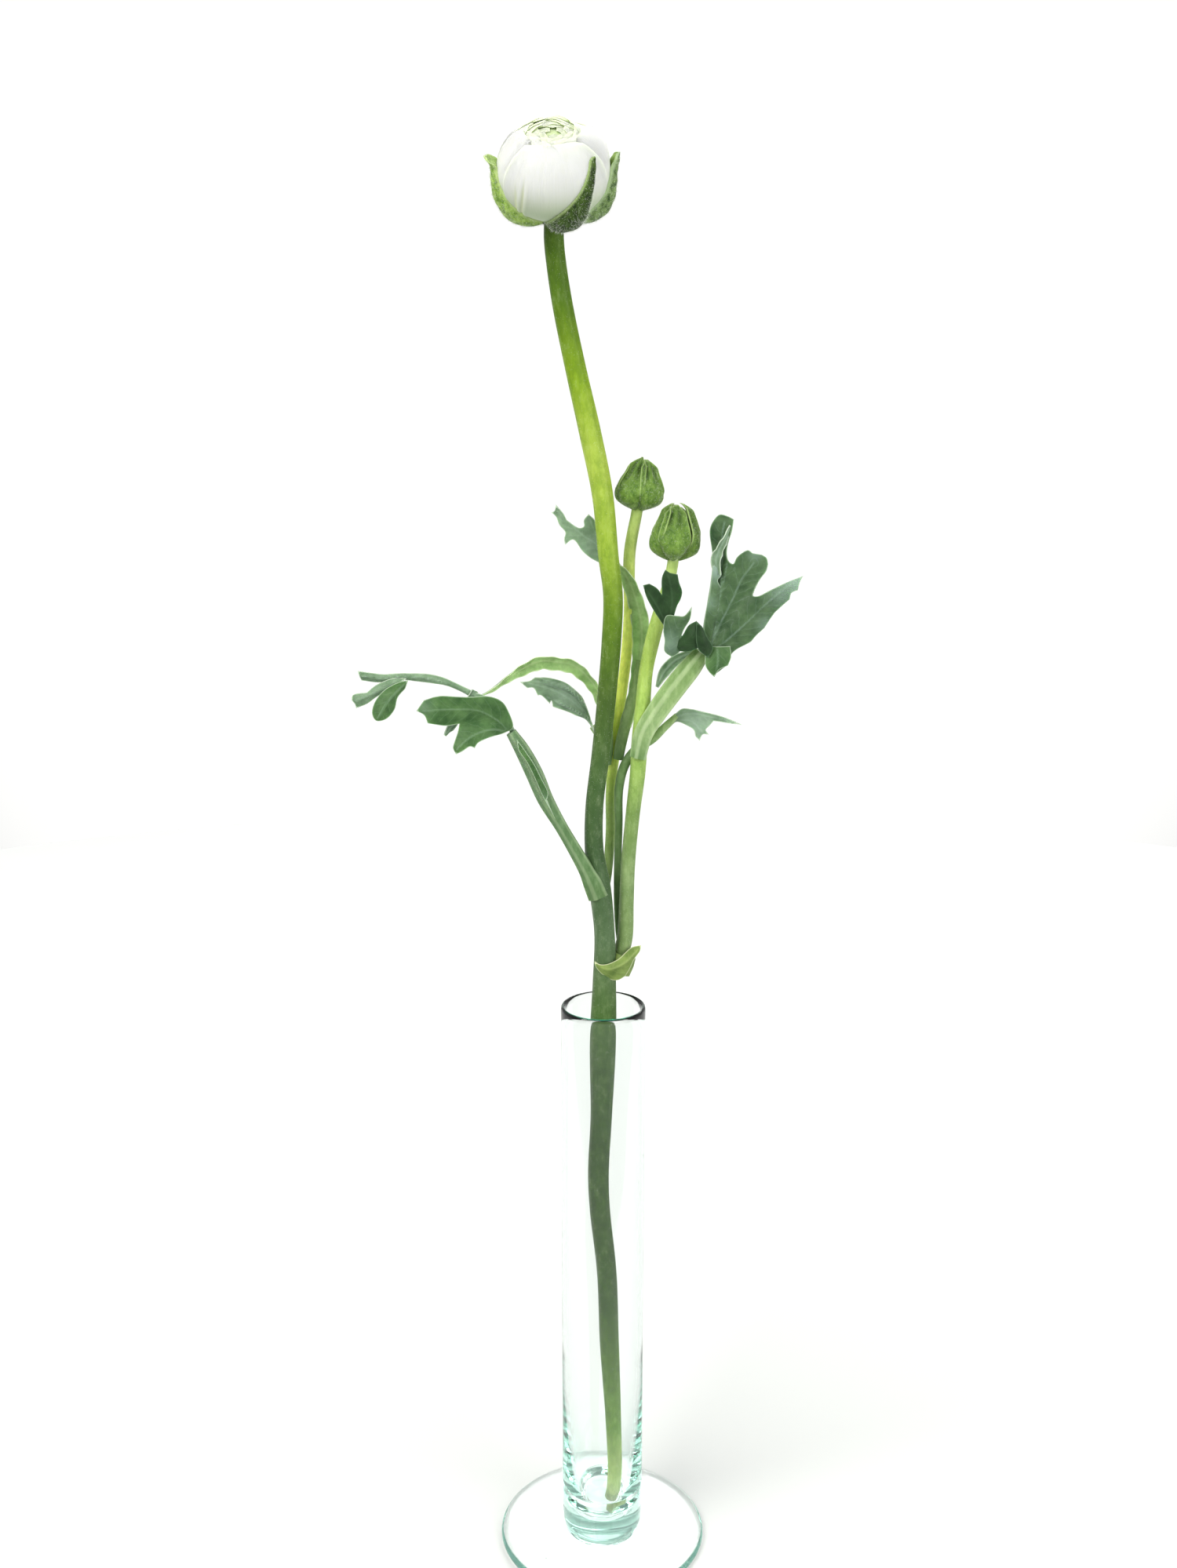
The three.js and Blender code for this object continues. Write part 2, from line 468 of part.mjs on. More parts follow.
const sepals = SEPALS.map((rows) => {
  const grid = rows.map(([polar, turn, radius, half]) => [-1, -0.5, 0, 0.5, 1].map((u) => {
    const reach = THREE.MathUtils.radToDeg(half / (radius * Math.sin(rad(polar))));
    return placeBall(onBall(polar, turn + Math.min(reach, 70) * u, radius + 0.3 * (1 - u * u)));
  }));
  return sheet(grid, 1);
});
const receptacle = skin([[179, 17.7], [166, 17.7], [158, 17.7], [157, 18.6], [166, 19],
  [179, 19.1]].map(([polar, radius]) => {
  const ring = [];
  for (let k = 0; k < 16; k += 1) ring.push(placeBall(onBall(polar, k * 22.5, radius)));
  return ring;
}));
const calyx = cut(fuse([receptacle, ...sepals]), [mainFat]);

// ---- Buds ---------------------------------------------------------------
// Five ridged sepals closed over each other, swelling at their feet.
function bud(base, lean, spin, opening) {
  const shape = [[0, 0.28], [0.02, 0.5], [0.05, 0.72], [0.13, 0.9], [0.3, 1], [0.48, 0.91],
    [0.68, 0.7], [0.82, 0.58], [0.92, 0.47], [0.98, 0.32], [1, 0.1]];
  const place = (p) => p.applyAxisAngle(vec(0, 1, 0), rad(lean)).add(vec(...base));
  const rings = shape.map(([h, w]) => {
    const ring = [];
    for (let k = 0; k < 30; k += 1) {
      const a = (2 * Math.PI * k) / 30;
      const seam = Math.abs(Math.cos(2.5 * (a + spin)));
      const depth = h < 0.4 ? 0.2 : 0.15;
      const radius = BUD_RADIUS * w * (1 - depth * (1 - seam) ** 2 + 0.03);
      const drop = -0.9 * seam * Math.max(0, 1 - h / 0.2);
      ring.push(place(vec(radius * Math.cos(a), radius * Math.sin(a), BUD_HEIGHT * h + drop)));
    }
    return ring;
  });
  const body = skin(rings);
  if (!opening) return body;
  const sepal = sheet([[0.1, 0.72, 2.8], [0.25, 0.98, 3.4], [0.42, 1.04, 3.2], [0.6, 0.94, 2.5],
    [0.78, 0.74, 1.8], [0.93, 0.5, 1.3], [1.03, 0.4, 0.7]].map(([h, w, half]) => (
    [-1, 0, 1].map((u) => place(vec(
      BUD_RADIUS * w - 0.5 * u * u, half * u, BUD_HEIGHT * h))))), 0.8);
  return fuse([body, sepal]);
}
const upperBud = cut(bud([11.1, 15, 369.4], 6, 0.3, false), [backFat]);
const lowerBud = cut(bud([22.4, 7.8, 354.3], 3, 0.9, true), [rightFat]);

// ---- Scene graph --------------------------------------------------------
const group = new THREE.Group();
group.name = 'ranunculus_in_vase';

function add(name, shape, color, roughness) {
  const material = new THREE.MeshStandardMaterial({ color, roughness, metalness: 0 });
  const mesh = new THREE.Mesh(toGeometry(shape), material);
  mesh.name = name;
  group.add(mesh);
}

add('vase', vase, 0xdff0ee, 0.05);
add('water', cut(water, [mainFat]), 0xe4f2f0, 0.05);
add('main_stem', mainStem, 0x7fa83c, 0.5);
add('side_stem_right', cut(rightStem, [mainFat]), 0x9db765, 0.5);
add('side_stem_back', cut(backStem, [mainFat]), 0xb4c94a, 0.5);
add('bract', bract, 0xb9c46a, 0.55);
add('leaf_lower_left', lowerLeft, 0x4f7353, 0.6);
add('leaf_mid_left', midLeft, 0x6f9352, 0.6);
add('leaf_back_left', backLeft, 0x7d9a84, 0.6);
add('leaf_upper_left', upperLeft, 0x527458, 0.6);
add('leaf_right', right, 0x4c6f50, 0.6);
add('leaf_right_small', rightSmall, 0x83a08c, 0.6);
add('bloom_petals', petals, 0xf4f5ea, 0.6);
add('bloom_calyx', calyx, 0x5f8a34, 0.65);
add('bud_upper', upperBud, 0x658f45, 0.65);
add('bud_lower', lowerBud, 0x6d9749, 0.65);

export default group;
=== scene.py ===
"""The looks of a white ranunculus with two buds, standing in a tall glass tube vase.

Sizes are in millimetres until a mesh is built, and +Z is up. The open flower leans
toward -Y, where the camera stands, and the leaves spread along X.
"""
import math

import bpy
import numpy as np
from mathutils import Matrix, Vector, geometry


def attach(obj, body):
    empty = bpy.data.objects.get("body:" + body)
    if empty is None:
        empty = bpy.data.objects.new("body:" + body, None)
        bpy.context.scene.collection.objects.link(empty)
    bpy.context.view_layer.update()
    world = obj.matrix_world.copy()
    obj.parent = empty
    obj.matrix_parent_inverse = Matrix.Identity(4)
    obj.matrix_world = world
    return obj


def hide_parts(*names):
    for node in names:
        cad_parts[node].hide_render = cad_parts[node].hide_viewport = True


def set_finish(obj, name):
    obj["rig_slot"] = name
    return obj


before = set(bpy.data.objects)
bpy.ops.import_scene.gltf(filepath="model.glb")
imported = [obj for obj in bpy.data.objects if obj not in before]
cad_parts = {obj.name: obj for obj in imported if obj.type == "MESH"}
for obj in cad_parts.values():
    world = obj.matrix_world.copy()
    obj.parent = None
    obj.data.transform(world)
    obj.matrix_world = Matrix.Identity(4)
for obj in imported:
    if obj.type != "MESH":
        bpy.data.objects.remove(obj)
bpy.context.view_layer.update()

MM = 0.001
BODY = "root"

# ---- Driving dimensions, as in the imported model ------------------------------
FOOT_RADIUS = 36.8
FOOT_THICKNESS = 3.0
TUBE_RADIUS = 14.4
TUBE_WALL = 1.8
BORE_RADIUS = TUBE_RADIUS - TUBE_WALL
VASE_HEIGHT = 204.5
FLOOR_HEIGHT = 9.5
WATER_LEVEL = 19.0
BALL_RADIUS = 17.3
BALL_SQUASH = 0.84
BALL_CENTRE = np.array([-15.5, -6.0, 471.4])
BALL_TILT = math.radians(37)
BUD_RADIUS = 7.8
BUD_HEIGHT = 16.8


# ---- Camera, light and floor --------------------------------------------------
LENS = 37.28
CAMERA_PLACE = (-0.005, -0.520, 0.4015)
CAMERA_PITCH = 13  # degrees below level
LAMPS = [
    # name, place, target, size, power and colour
    ("key", (-0.9, -0.9, 1.3), (0, 0, 0.35), 1.2, 29.5, (1, 0.99, 0.94)),
    ("fill", (1.0, -0.9, 0.6), (0, 0, 0.35), 1.0, 13.5, (1, 1, 0.96)),
    ("back", (0.5, 1.1, 1.5), (0, 0, 0.3), 1.2, 14, (1, 1, 1)),
]
FLOOR_RADIUS = 1.1
FLOOR_SIDES = 96
FLOOR_DROP = 0.0002  # keeps the floor clear of the foot


def link(thing):
    bpy.context.scene.collection.objects.link(thing)
    return thing


def make_camera():
    """A portrait view from the height of the leaves, looking a little down."""
    data = bpy.data.cameras.new("camera")
    data.sensor_width = 36
    data.lens = LENS
    data.clip_start = 0.01
    camera = link(bpy.data.objects.new("camera", data))
    camera.location = CAMERA_PLACE
    camera.rotation_euler = (math.radians(90 - CAMERA_PITCH), 0, 0)
    bpy.context.scene.camera = camera


def make_light(name, place, target, size, power, colour):
    """A soft square lamp at a place, turned to a target, in metres."""
    data = bpy.data.lights.new(name, "AREA")
    data.size = size
    data.energy = power
    data.color = colour
    lamp = link(bpy.data.objects.new(name, data))
    lamp.location = place
    direction = Vector(target) - Vector(place)
    lamp.rotation_euler = direction.to_track_quat("-Z", "Y").to_euler()


def make_world():
    """A pale room with a bright white wall behind the flower."""
    world = bpy.data.worlds.new("studio")
    world.use_nodes = True
    bpy.context.scene.world = world
    tree = world.node_tree
    place = node(tree, "TexCoord")
    split = node(tree, "SeparateXYZ", {0: place.outputs["Generated"]})
    room = node(tree, "MapRange", {0: split.outputs[1], 1: -0.4, 2: 0.4, 3: 0.40, 4: 0.50},
                interpolation_type="SMOOTHSTEP")
    behind = node(tree, "MapRange", {0: split.outputs[1], 1: 0.84, 2: 0.93, 3: 0.0, 4: 0.54},
                  interpolation_type="SMOOTHSTEP")
    strength = maths(tree, "ADD", room.outputs[0], behind.outputs[0])
    background = tree.nodes["Background"]
    background.inputs["Color"].default_value = (1.0, 1.0, 0.985, 1)
    tree.links.new(strength, background.inputs["Strength"])
    bpy.context.scene.view_settings.view_transform = "Standard"


def make_floor():
    """A white table, greyer in front, and glowing under the foot of the vase: painted light in place
    of light that comes through the glass.
    """
    turns = [2 * math.pi * k / FLOOR_SIDES for k in range(FLOOR_SIDES)]
    mesh = bpy.data.meshes.new("floor")
    edge = [(FLOOR_RADIUS * math.cos(a), FLOOR_RADIUS * math.sin(a), 0) for a in turns]
    mesh.from_pydata(edge, [], [tuple(range(FLOOR_SIDES))])
    floor = link(bpy.data.objects.new("floor", mesh))
    floor.location.z = -FLOOR_DROP
    material, tree, surface = new_material("floor_white")
    surface.inputs["Roughness"].default_value = 0.8
    grain = ramp(tree, noise(tree, 40, 2), [(0, (0.95, 0.97, 0.96)), (1, (0.97, 0.98, 0.98))])
    place = location(tree)
    depth = node(tree, "SeparateXYZ", {0: place}).outputs[1]
    far = node(tree, "MapRange", {0: depth, 1: 0.0, 2: 0.9, 3: 0.0, 4: 1.0}).outputs[0]
    duller = mix(tree, far, (0.72, 0.74, 0.73), grain)
    front = fade(tree, depth, -0.05, -0.30)
    tree.links.new(mix(tree, front, duller, (0.42, 0.43, 0.43)), surface.inputs["Base Color"])
    reach = node(tree, "VectorMath", {0: place}, operation="LENGTH").outputs["Value"]
    # painted light: the floor glows under the glass foot, in place of light that comes through the
    # glass
    painted_glow_under_foot = times(tree, fade(tree, reach, 0.038, 0.030), 0.9)
    surface.inputs["Emission Color"].default_value = (1, 1, 0.97, 1)
    tree.links.new(painted_glow_under_foot, surface.inputs["Emission Strength"])
    mesh.materials.append(material)


def make_light_paths():
    """Lets light run on through the thick glass, where it would end black otherwise."""
    paths = bpy.context.scene.cycles
    paths.max_bounces = 32
    paths.diffuse_bounces = 12
    paths.glossy_bounces = 24
    paths.transmission_bounces = 32


def make_studio():
    make_light_paths()
    make_world()
    for lamp in LAMPS:
        make_light(*lamp)
    make_floor()


# ---- Material building blocks ------------------------------------------------
def new_material(name):
    material = bpy.data.materials.new(name)
    material.use_nodes = True
    tree = material.node_tree
    return material, tree, tree.nodes["Principled BSDF"]


def node(tree, kind, inputs=None, **settings):
    """A shader node with its settings, and its inputs set or linked by name or index."""
    made = tree.nodes.new("ShaderNode" + kind)
    for key, value in settings.items():
        setattr(made, key, value)
    for key, value in (inputs or {}).items():
        if isinstance(value, bpy.types.NodeSocket):
            tree.links.new(value, made.inputs[key])
        else:
            made.inputs[key].default_value = value
    return made


def linear(colour):
    """A display colour of three numbers from 0 to 255, as the linear one."""
    parts = np.array(colour, float) / 255
    low = parts / 12.92
    high = ((parts + 0.055) / 1.055) ** 2.4
    return tuple(float(v) for v in np.where(parts <= 0.04045, low, high))


def ramp(tree, factor, stops):
    """A colour that follows a factor through stops of (place, linear colour)."""
    made = node(tree, "ValToRGB", {0: factor})
    elements = made.color_ramp.elements
    while len(elements) < len(stops):
        elements.new(0.5)
    for element, (place, colour) in zip(elements, stops):
        element.position = place
        element.color = (*colour, 1)
    return made.outputs["Color"]


def mix(tree, factor, first, second, kind="MIX"):
    made = node(tree, "Mix", {0: factor}, data_type="RGBA", blend_type=kind)
    for index, value in ((6, first), (7, second)):
        if isinstance(value, bpy.types.NodeSocket):
            tree.links.new(value, made.inputs[index])
        else:
            made.inputs[index].default_value = (*value, 1)
    return made.outputs[2]


def maths(tree, operation, *values):
    return node(tree, "Math", dict(enumerate(values)), operation=operation).outputs[0]


def times(tree, first, second):
    return maths(tree, "MULTIPLY", first, second)


def flipped(tree, value):
    """One minus a value."""
    return maths(tree, "SUBTRACT", 1.0, value)


def location(tree):
    """The place of each point in the piece's own space."""
    return node(tree, "TexCoord").outputs["Object"]


def field(tree, name):
    """A number that the mesh carries at each point."""
    return node(tree, "Attribute", attribute_name=name).outputs["Fac"]


def fade(tree, value, low, high):
    """0 where value is low and 1 where it is high, eased between."""
    made = node(tree, "MapRange", {0: value, 1: low, 2: high}, interpolation_type="SMOOTHSTEP")
    return made.outputs[0]


def noise(tree, scale, detail=3, stretch=(1, 1, 1), roughness=0.5):
    """Noise in space, with its grain stretched by smaller numbers."""
    place = location(tree)
    mapped = node(tree, "Mapping", {"Vector": place, "Scale": stretch}).outputs[0]
    made = node(tree, "TexNoise", {
        "Vector": mapped, "Scale": scale, "Detail": detail, "Roughness": roughness})
    return made.outputs["Fac"]


def bump(tree, surface, height, distance, strength=1.0):
    made = node(tree, "Bump", {"Height": height, "Distance": distance, "Strength": strength})
    tree.links.new(made.outputs[0], surface.inputs["Normal"])


def finish(surface, roughness, subsurface=0.0, radius=(1, 1, 1), scale=0.001, **more):
    """The plain numbers of a finish, set on the shader itself."""
    surface.inputs["Roughness"].default_value = roughness
    surface.inputs["Subsurface Weight"].default_value = subsurface
    surface.inputs["Subsurface Radius"].default_value = radius
    surface.inputs["Subsurface Scale"].default_value = scale
    for name, value in more.items():
        surface.inputs[name.replace("_", " ")].default_value = value


# ---- Materials ----------------------------------------------------------------
def glass_material(name, tint, density, ior):
    """Clear glass or water, tinted by how much of it the light goes through."""
    material, tree, surface = new_material(name)
    surface.inputs["Base Color"].default_value = (1, 1, 1, 1)
    surface.inputs["Transmission Weight"].default_value = 1
    surface.inputs["IOR"].default_value = ior
    cast = noise(tree, 55, 2, (1, 1, 0.3))
    bump(tree, surface, cast, 0.0003, 0.25)
    tree.links.new(ramp(tree, noise(tree, 400, 2), [
        (0.45, (0.0, 0.0, 0.0)), (0.9, (0.03, 0.03, 0.03))]), surface.inputs["Roughness"])
    volume = node(tree, "VolumeAbsorption", {"Color": (*tint, 1), "Density": density})
    tree.links.new(volume.outputs[0], tree.nodes["Material Output"].inputs["Volume"])
    return material


def stem_material(name, stops, lowest, highest, ridge=0.0):
    """Finely ribbed, downy stem whose colour changes with height in millimetres."""
    material, tree, surface = new_material(name)
    place = location(tree)
    height = node(tree, "SeparateXYZ", {0: place}).outputs[2]
    share = node(tree, "MapRange", {0: height, 1: lowest * MM, 2: highest * MM}).outputs[0]
    base = ramp(tree, share, [
        ((z - lowest) / (highest - lowest), linear(colour)) for z, colour in stops])
    fibres = noise(tree, 900, 3, (1, 1, 0.04))
    blotches = noise(tree, 420, 5, (1, 1, 0.5), 0.72)
    darker = mix(tree, 1.0, base, (0.68, 0.75, 0.64), "MULTIPLY")
    streaked = mix(tree, times(tree, fade(tree, fibres, 0.4, 0.66), 0.5), base, darker)
    clouded = mix(tree, fade(tree, blotches, 0.60, 0.32), streaked, darker)
    paler = mix(tree, 0.10, streaked, (0.75, 0.85, 0.55))
    spotted = mix(tree, fade(tree, blotches, 0.50, 0.80), clouded, paler)
    crest = fade(tree, field(tree, "vein"), 0.45, 1.0)
    ridged = mix(tree, times(tree, crest, ridge), spotted, (0.80, 0.90, 0.62))
    tree.links.new(ridged, surface.inputs["Base Color"])
    grain = noise(tree, 2600, 2, (1, 1, 0.5))
    bump(tree, surface, mix(tree, 0.35, fibres, grain), 0.0002, 0.5)
    finish(surface, 0.5, 0.2, (0.7, 1.0, 0.35), 0.002, Specular_IOR_Level=0.22,
           Sheen_Weight=0.06, Sheen_Roughness=0.4)
    return material


def leaf_material(name, deep, light, vein, edge):
    """Veined leaf: paler ribs and a pale edge over a mottled green, with a fine net in relief. The
    pale edge is painted rim light.
    """
    material, tree, surface = new_material(name)
    mottle = noise(tree, 190, 5, (1, 1, 1), 0.62)
    green = ramp(tree, mottle, [(0.32, linear(deep)), (0.68, linear(light))])
    green = mix(tree, field(tree, "tint"), green, linear(vein))
    wobble = noise(tree, 220, 2)
    phase = maths(tree, "ADD", field(tree, "vein"), times(tree, wobble, 0.8))
    wave = maths(tree, "ABSOLUTE", maths(tree, "SUBTRACT", maths(tree, "FRACT", phase), 0.5))
    side = fade(tree, wave, 0.42, 0.5)
    rib = field(tree, "rib")
    main = flipped(tree, fade(tree, rib, 0.12, 0.5))
    away = fade(tree, field(tree, "rim"), 0.2, 1.2)
    lines = maths(tree, "MAXIMUM", main, times(tree, side, 0.4))
    lines = times(tree, lines, away)
    veined = mix(tree, times(tree, lines, 0.24), green, linear(vein))
    # painted rim light: a pale hem along the blade's edge
    hem = flipped(tree, fade(tree, field(tree, "rim"), 0.02, 0.35))
    edged = mix(tree, times(tree, hem, 0.6), veined, linear(edge))
    tree.links.new(edged, surface.inputs["Base Color"])
    net = node(tree, "TexVoronoi", {
        "Vector": location(tree), "Scale": 1700},
        feature="DISTANCE_TO_EDGE").outputs[0]
    relief = maths(tree, "SUBTRACT", fade(tree, net, 0.0, 0.12), times(tree, lines, 1.2))
    bump(tree, surface, relief, 0.00003, 0.5)
    finish(surface, 0.5, 0.2, (0.5, 1.0, 0.3), 0.001, Specular_IOR_Level=0.25,
           Sheen_Weight=0.06, Sheen_Roughness=0.5)
    return material


def petal_material():
    """White petal: greener in its inner layers, with faint long veins. Toward the foot of the outer
    petals it is darker green, partly its own colour and partly painted shade under the ball, and the
    front petal's creases carry painted shade through the tint field.
    """
    material, tree, surface = new_material("petal")
    depth = field(tree, "tint")
    low = flipped(tree, field(tree, "vein"))
    veins = node(tree, "TexNoise", {"Scale": 1.0, "Detail": 3.0, "Vector": node(
        tree, "CombineXYZ", {0: times(tree, field(tree, "rib"), 2.4),
                             1: times(tree, field(tree, "vein"), 1.2)}).outputs[0]})
    lines = fade(tree, veins.outputs["Fac"], 0.48, 0.75)
    white = mix(tree, times(tree, lines, 0.3), (0.91, 0.96, 0.79), (0.80, 0.88, 0.58))
    # darker green toward the foot: partly the petal's own green base, partly painted shade under the
    # ball
    foot = fade(tree, low, 0.28, 0.68)
    based = mix(tree, times(tree, foot, 0.95), white, (0.36, 0.46, 0.27))
    # the tint field greens the inner layers and paints shade into the front petal's creases
    deep = mix(tree, depth, based, (0.68, 0.78, 0.42))
    rim = flipped(tree, fade(tree, field(tree, "rim"), 0.0, 0.6))
    edged = mix(tree, times(tree, rim, 0.3), deep, (0.76, 0.85, 0.52))
    tree.links.new(edged, surface.inputs["Base Color"])
    bump(tree, surface, veins.outputs["Fac"], 0.0002, 0.35)
    finish(surface, 0.5, 0.8, (1.0, 1.0, 0.8), 0.003, Specular_IOR_Level=0.3, Sheen_Weight=0.15,
           Sheen_Roughness=0.4)
    return material


def sepal_material(name, deep, light, edge, hollow):
    """Downy sepal: paler along its hem, with painted shade darkening its hollows and grooves, speckled
    with hair roots.
    """
    material, tree, surface = new_material(name)
    mottle = noise(tree, 650, 5, (1, 1, 0.6), 0.7)
    green = ramp(tree, mottle, [(0.37, linear(deep)), (0.63, linear(light))])
    speck = node(tree, "TexVoronoi", {
        "Vector": location(tree), "Scale": 2300}).outputs[0]
    dots = flipped(tree, fade(tree, speck, 0.08, 0.28))
    spotted = mix(tree, times(tree, dots, 0.22), green, linear(edge))
    hem = flipped(tree, fade(tree, field(tree, "rim"), 0.0, 0.7))
    hemmed = mix(tree, times(tree, hem, 0.6), spotted, linear(edge))
    # painted shade: the tint field darkens hollows and grooves toward the hollow colour
    shaded = mix(tree, field(tree, "tint"), hemmed, linear(hollow))
    tree.links.new(shaded, surface.inputs["Base Color"])
    bump(tree, surface, mix(tree, 0.5, speck, mottle), 0.0003, 0.6)
    finish(surface, 0.6, 0.15, (0.6, 1.0, 0.3), 0.001, Specular_IOR_Level=0.2,
           Sheen_Weight=0.08, Sheen_Roughness=0.4)
    return material


def hair_material():
    material, tree, surface = new_material("silky_hair")
    shade = noise(tree, 300, 2)
    tree.links.new(ramp(tree, shade, [(0.3, (0.80, 0.86, 0.74)), (0.7, (0.95, 0.97, 0.93))]),
                   surface.inputs["Base Color"])
    finish(surface, 0.35, 0.0, Specular_IOR_Level=0.7)
    return material


# ---- Mesh building blocks ------------------------------------------------------
FIELDS = ("rib", "vein", "rim", "tint")


class Shape:
    """Gathers closed bodies into one piece, with the fields its materials read."""

    def __init__(self):
        self.points = []
        self.faces = []
        self.slots = []
        self.fields = {name: [] for name in FIELDS}
        self.count = 0

    def add(self, points, faces, slots=0, hollow=False, **fields):
        """Adds one closed body, turned outward, or inward if it is a hollow."""
        points = np.asarray(points, float).reshape(-1, 3)
        triangles = np.array([(f[0], f[k], f[k + 1]) for f in faces for k in range(1, len(f) - 1)])
        a, b, c = (points[triangles[:, k]] - points[0] for k in range(3))
        inward = np.einsum("ij,ij->i", a, np.cross(b, c)).sum() < 0
        step = -1 if inward != hollow else 1
        self.faces += [tuple(i + self.count for i in f[::step]) for f in faces]
        self.slots += list(slots) if np.ndim(slots) else [slots] * len(faces)
        self.points.append(points)
        for name in FIELDS:
            values = np.asarray(fields.get(name, 0.0), float).ravel()
            self.fields[name].append(np.broadcast_to(values, len(points)))
        self.count += len(points)

    def build(self, name, materials, replaced=(), sharp=50):
        """Makes the piece, sets it on the body and lets it stand for its nodes."""
        mesh = bpy.data.meshes.new(name)
        mesh.from_pydata((np.vstack(self.points) * MM).tolist(), [], self.faces)
        for material in materials:
            mesh.materials.append(material)
        mesh.polygons.foreach_set("material_index", self.slots)
        for key in FIELDS:
            attribute = mesh.attributes.new(key, "FLOAT", "POINT")
            attribute.data.foreach_set("value", np.concatenate(self.fields[key]).astype(np.float32))
        mesh.shade_smooth()
        mesh.set_sharp_from_angle(angle=math.radians(sharp))
        piece = link(bpy.data.objects.new(name, mesh))
        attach(piece, BODY)
        if replaced:
            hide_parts(*replaced)
            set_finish(piece, replaced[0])
        return piece


def unit(vectors):
    length = np.linalg.norm(vectors, axis=-1, keepdims=True)
    return vectors / np.maximum(length, 1e-9)


def grid_faces(rows, cols, closed=False):
    """Quads over a grid of points, joined round into a ring if closed."""
    faces = []
    for i in range(rows - 1):
        for j in range(cols if closed else cols - 1):
            k = (j + 1) % cols
            faces.append((i * cols + j, i * cols + k, (i + 1) * cols + k, (i + 1) * cols + j))
    return faces


def circle(sides):
    return np.linspace(0, 2 * np.pi, sides, endpoint=False)


def round_rings(radii, heights, sides, middle=(0, 0)):
    """Level rings round an upright line, from columns of radii and heights."""
    turns = circle(sides)
    x = middle[0] + radii * np.cos(turns)
    y = middle[1] + radii * np.sin(turns)
    return np.stack([x, y, heights + 0 * turns], axis=-1)


def add_rings(shape, rings, slot=0, **fields):
    """A closed body through rings of points, with a fan over each end."""
    rows, cols = rings.shape[:2]
    faces = grid_faces(rows, cols, closed=True)
    ends = rings[[0, -1]].mean(axis=1)
    first, last = rows * cols, rows * cols + 1
    for j in range(cols):
        k = (j + 1) % cols
        faces.append((k, j, first))
        faces.append(((rows - 1) * cols + j, (rows - 1) * cols + k, last))
    grown = {}
    for name, values in fields.items():
        values = np.broadcast_to(values, (rows, cols))
        grown[name] = np.concatenate([values.ravel(), values[[0, -1]].mean(axis=1)])
    shape.add(np.concatenate([rings.reshape(-1, 3), ends]), faces, slot, **grown)


def add_sheet(shape, front, back, slots=(0, 0), **fields):
    """A thin closed body between two grids of points."""
    rows, cols = front.shape[:2]
    half = rows * cols
    faces = grid_faces(rows, cols)
    count = len(faces)
    faces += [tuple(half + i for i in f[::-1]) for f in faces]
    border = [(0, j) for j in range(cols - 1)]
    border += [(i, cols - 1) for i in range(rows - 1)]
    border += [(rows - 1, j) for j in range(cols - 1, 0, -1)]
    border += [(i, 0) for i in range(rows - 1, 0, -1)]
    ring = [i * cols + j for i, j in border]
    for a, b in zip(ring, ring[1:] + ring[:1]):
        faces.append((b, a, half + a, half + b))
    marks = [slots[0]] * count + [slots[1]] * count + [slots[0]] * len(ring)
    doubled = {}
    for name, values in fields.items():
        flat = np.broadcast_to(values, (rows, cols)).ravel()
        doubled[name] = np.concatenate([flat, flat])
    points = np.concatenate([front.reshape(-1, 3), back.reshape(-1, 3)])
    shape.add(points, faces, marks, **doubled)


def grid_normals(grid):
    along = np.gradient(grid, axis=0)
    across = np.gradient(grid, axis=1)
    return unit(np.cross(along, across))


def spline(rows, places):
    """A centripetal Catmull-Rom line through rows, at places from 0 to 1."""
    rows = np.asarray(rows, float)
    x = np.clip(np.asarray(places, float), 0, 1) * (len(rows) - 1)
    i = np.minimum(x.astype(int), len(rows) - 2)
    w = (x - i)[:, None]
    padded = np.vstack([2 * rows[0] - rows[1], rows, 2 * rows[-1] - rows[-2]])
    p0, p1, p2, p3 = (padded[i + k] for k in range(4))

    def gap(a, b):
        return np.sqrt(np.maximum(np.linalg.norm((b - a)[:, :3], axis=1), 1e-6))[:, None]

    d0, d1, d2 = gap(p0, p1), gap(p1, p2), gap(p2, p3)
    start = ((p1 - p0) / d0 - (p2 - p0) / (d0 + d1) + (p2 - p1) / d1) * d1
    end = ((p2 - p1) / d1 - (p3 - p1) / (d1 + d2) + (p3 - p2) / d2) * d1
    square = -3 * p1 + 3 * p2 - 2 * start - end
    cube = 2 * p1 - 2 * p2 + start + end
    return p1 + start * w + square * w ** 2 + cube * w ** 3


def follow(rows, steps):
    """Samples a line of rows [x, y, z, half width, turn in degrees].

    Turn 0 faces the front. Gives points, the directions along, across and through
    the piece, half widths, and the length run so far.
    """
    full = np.array([list(r) + [0.0] * (5 - len(r)) for r in rows], float)
    places = np.linspace(0, 1, steps + 1)
    samples = spline(full, places)
    points = samples[:, :3]
    along = unit(np.gradient(points, axis=0))
    flat = unit(np.cross(along, (0.0, 1.0, 0.0)))
    depth = unit(np.cross(flat, along))
    turn = np.radians(samples[:, 4])[:, None]
    across = flat * np.cos(turn) + depth * np.sin(turn)
    through = unit(np.cross(across, along))
    lengths = np.linalg.norm(np.diff(points, axis=0), axis=1)
    run = np.concatenate([[0], np.cumsum(lengths)])
    return points, along, across, through, np.maximum(samples[:, 3], 0.05), run


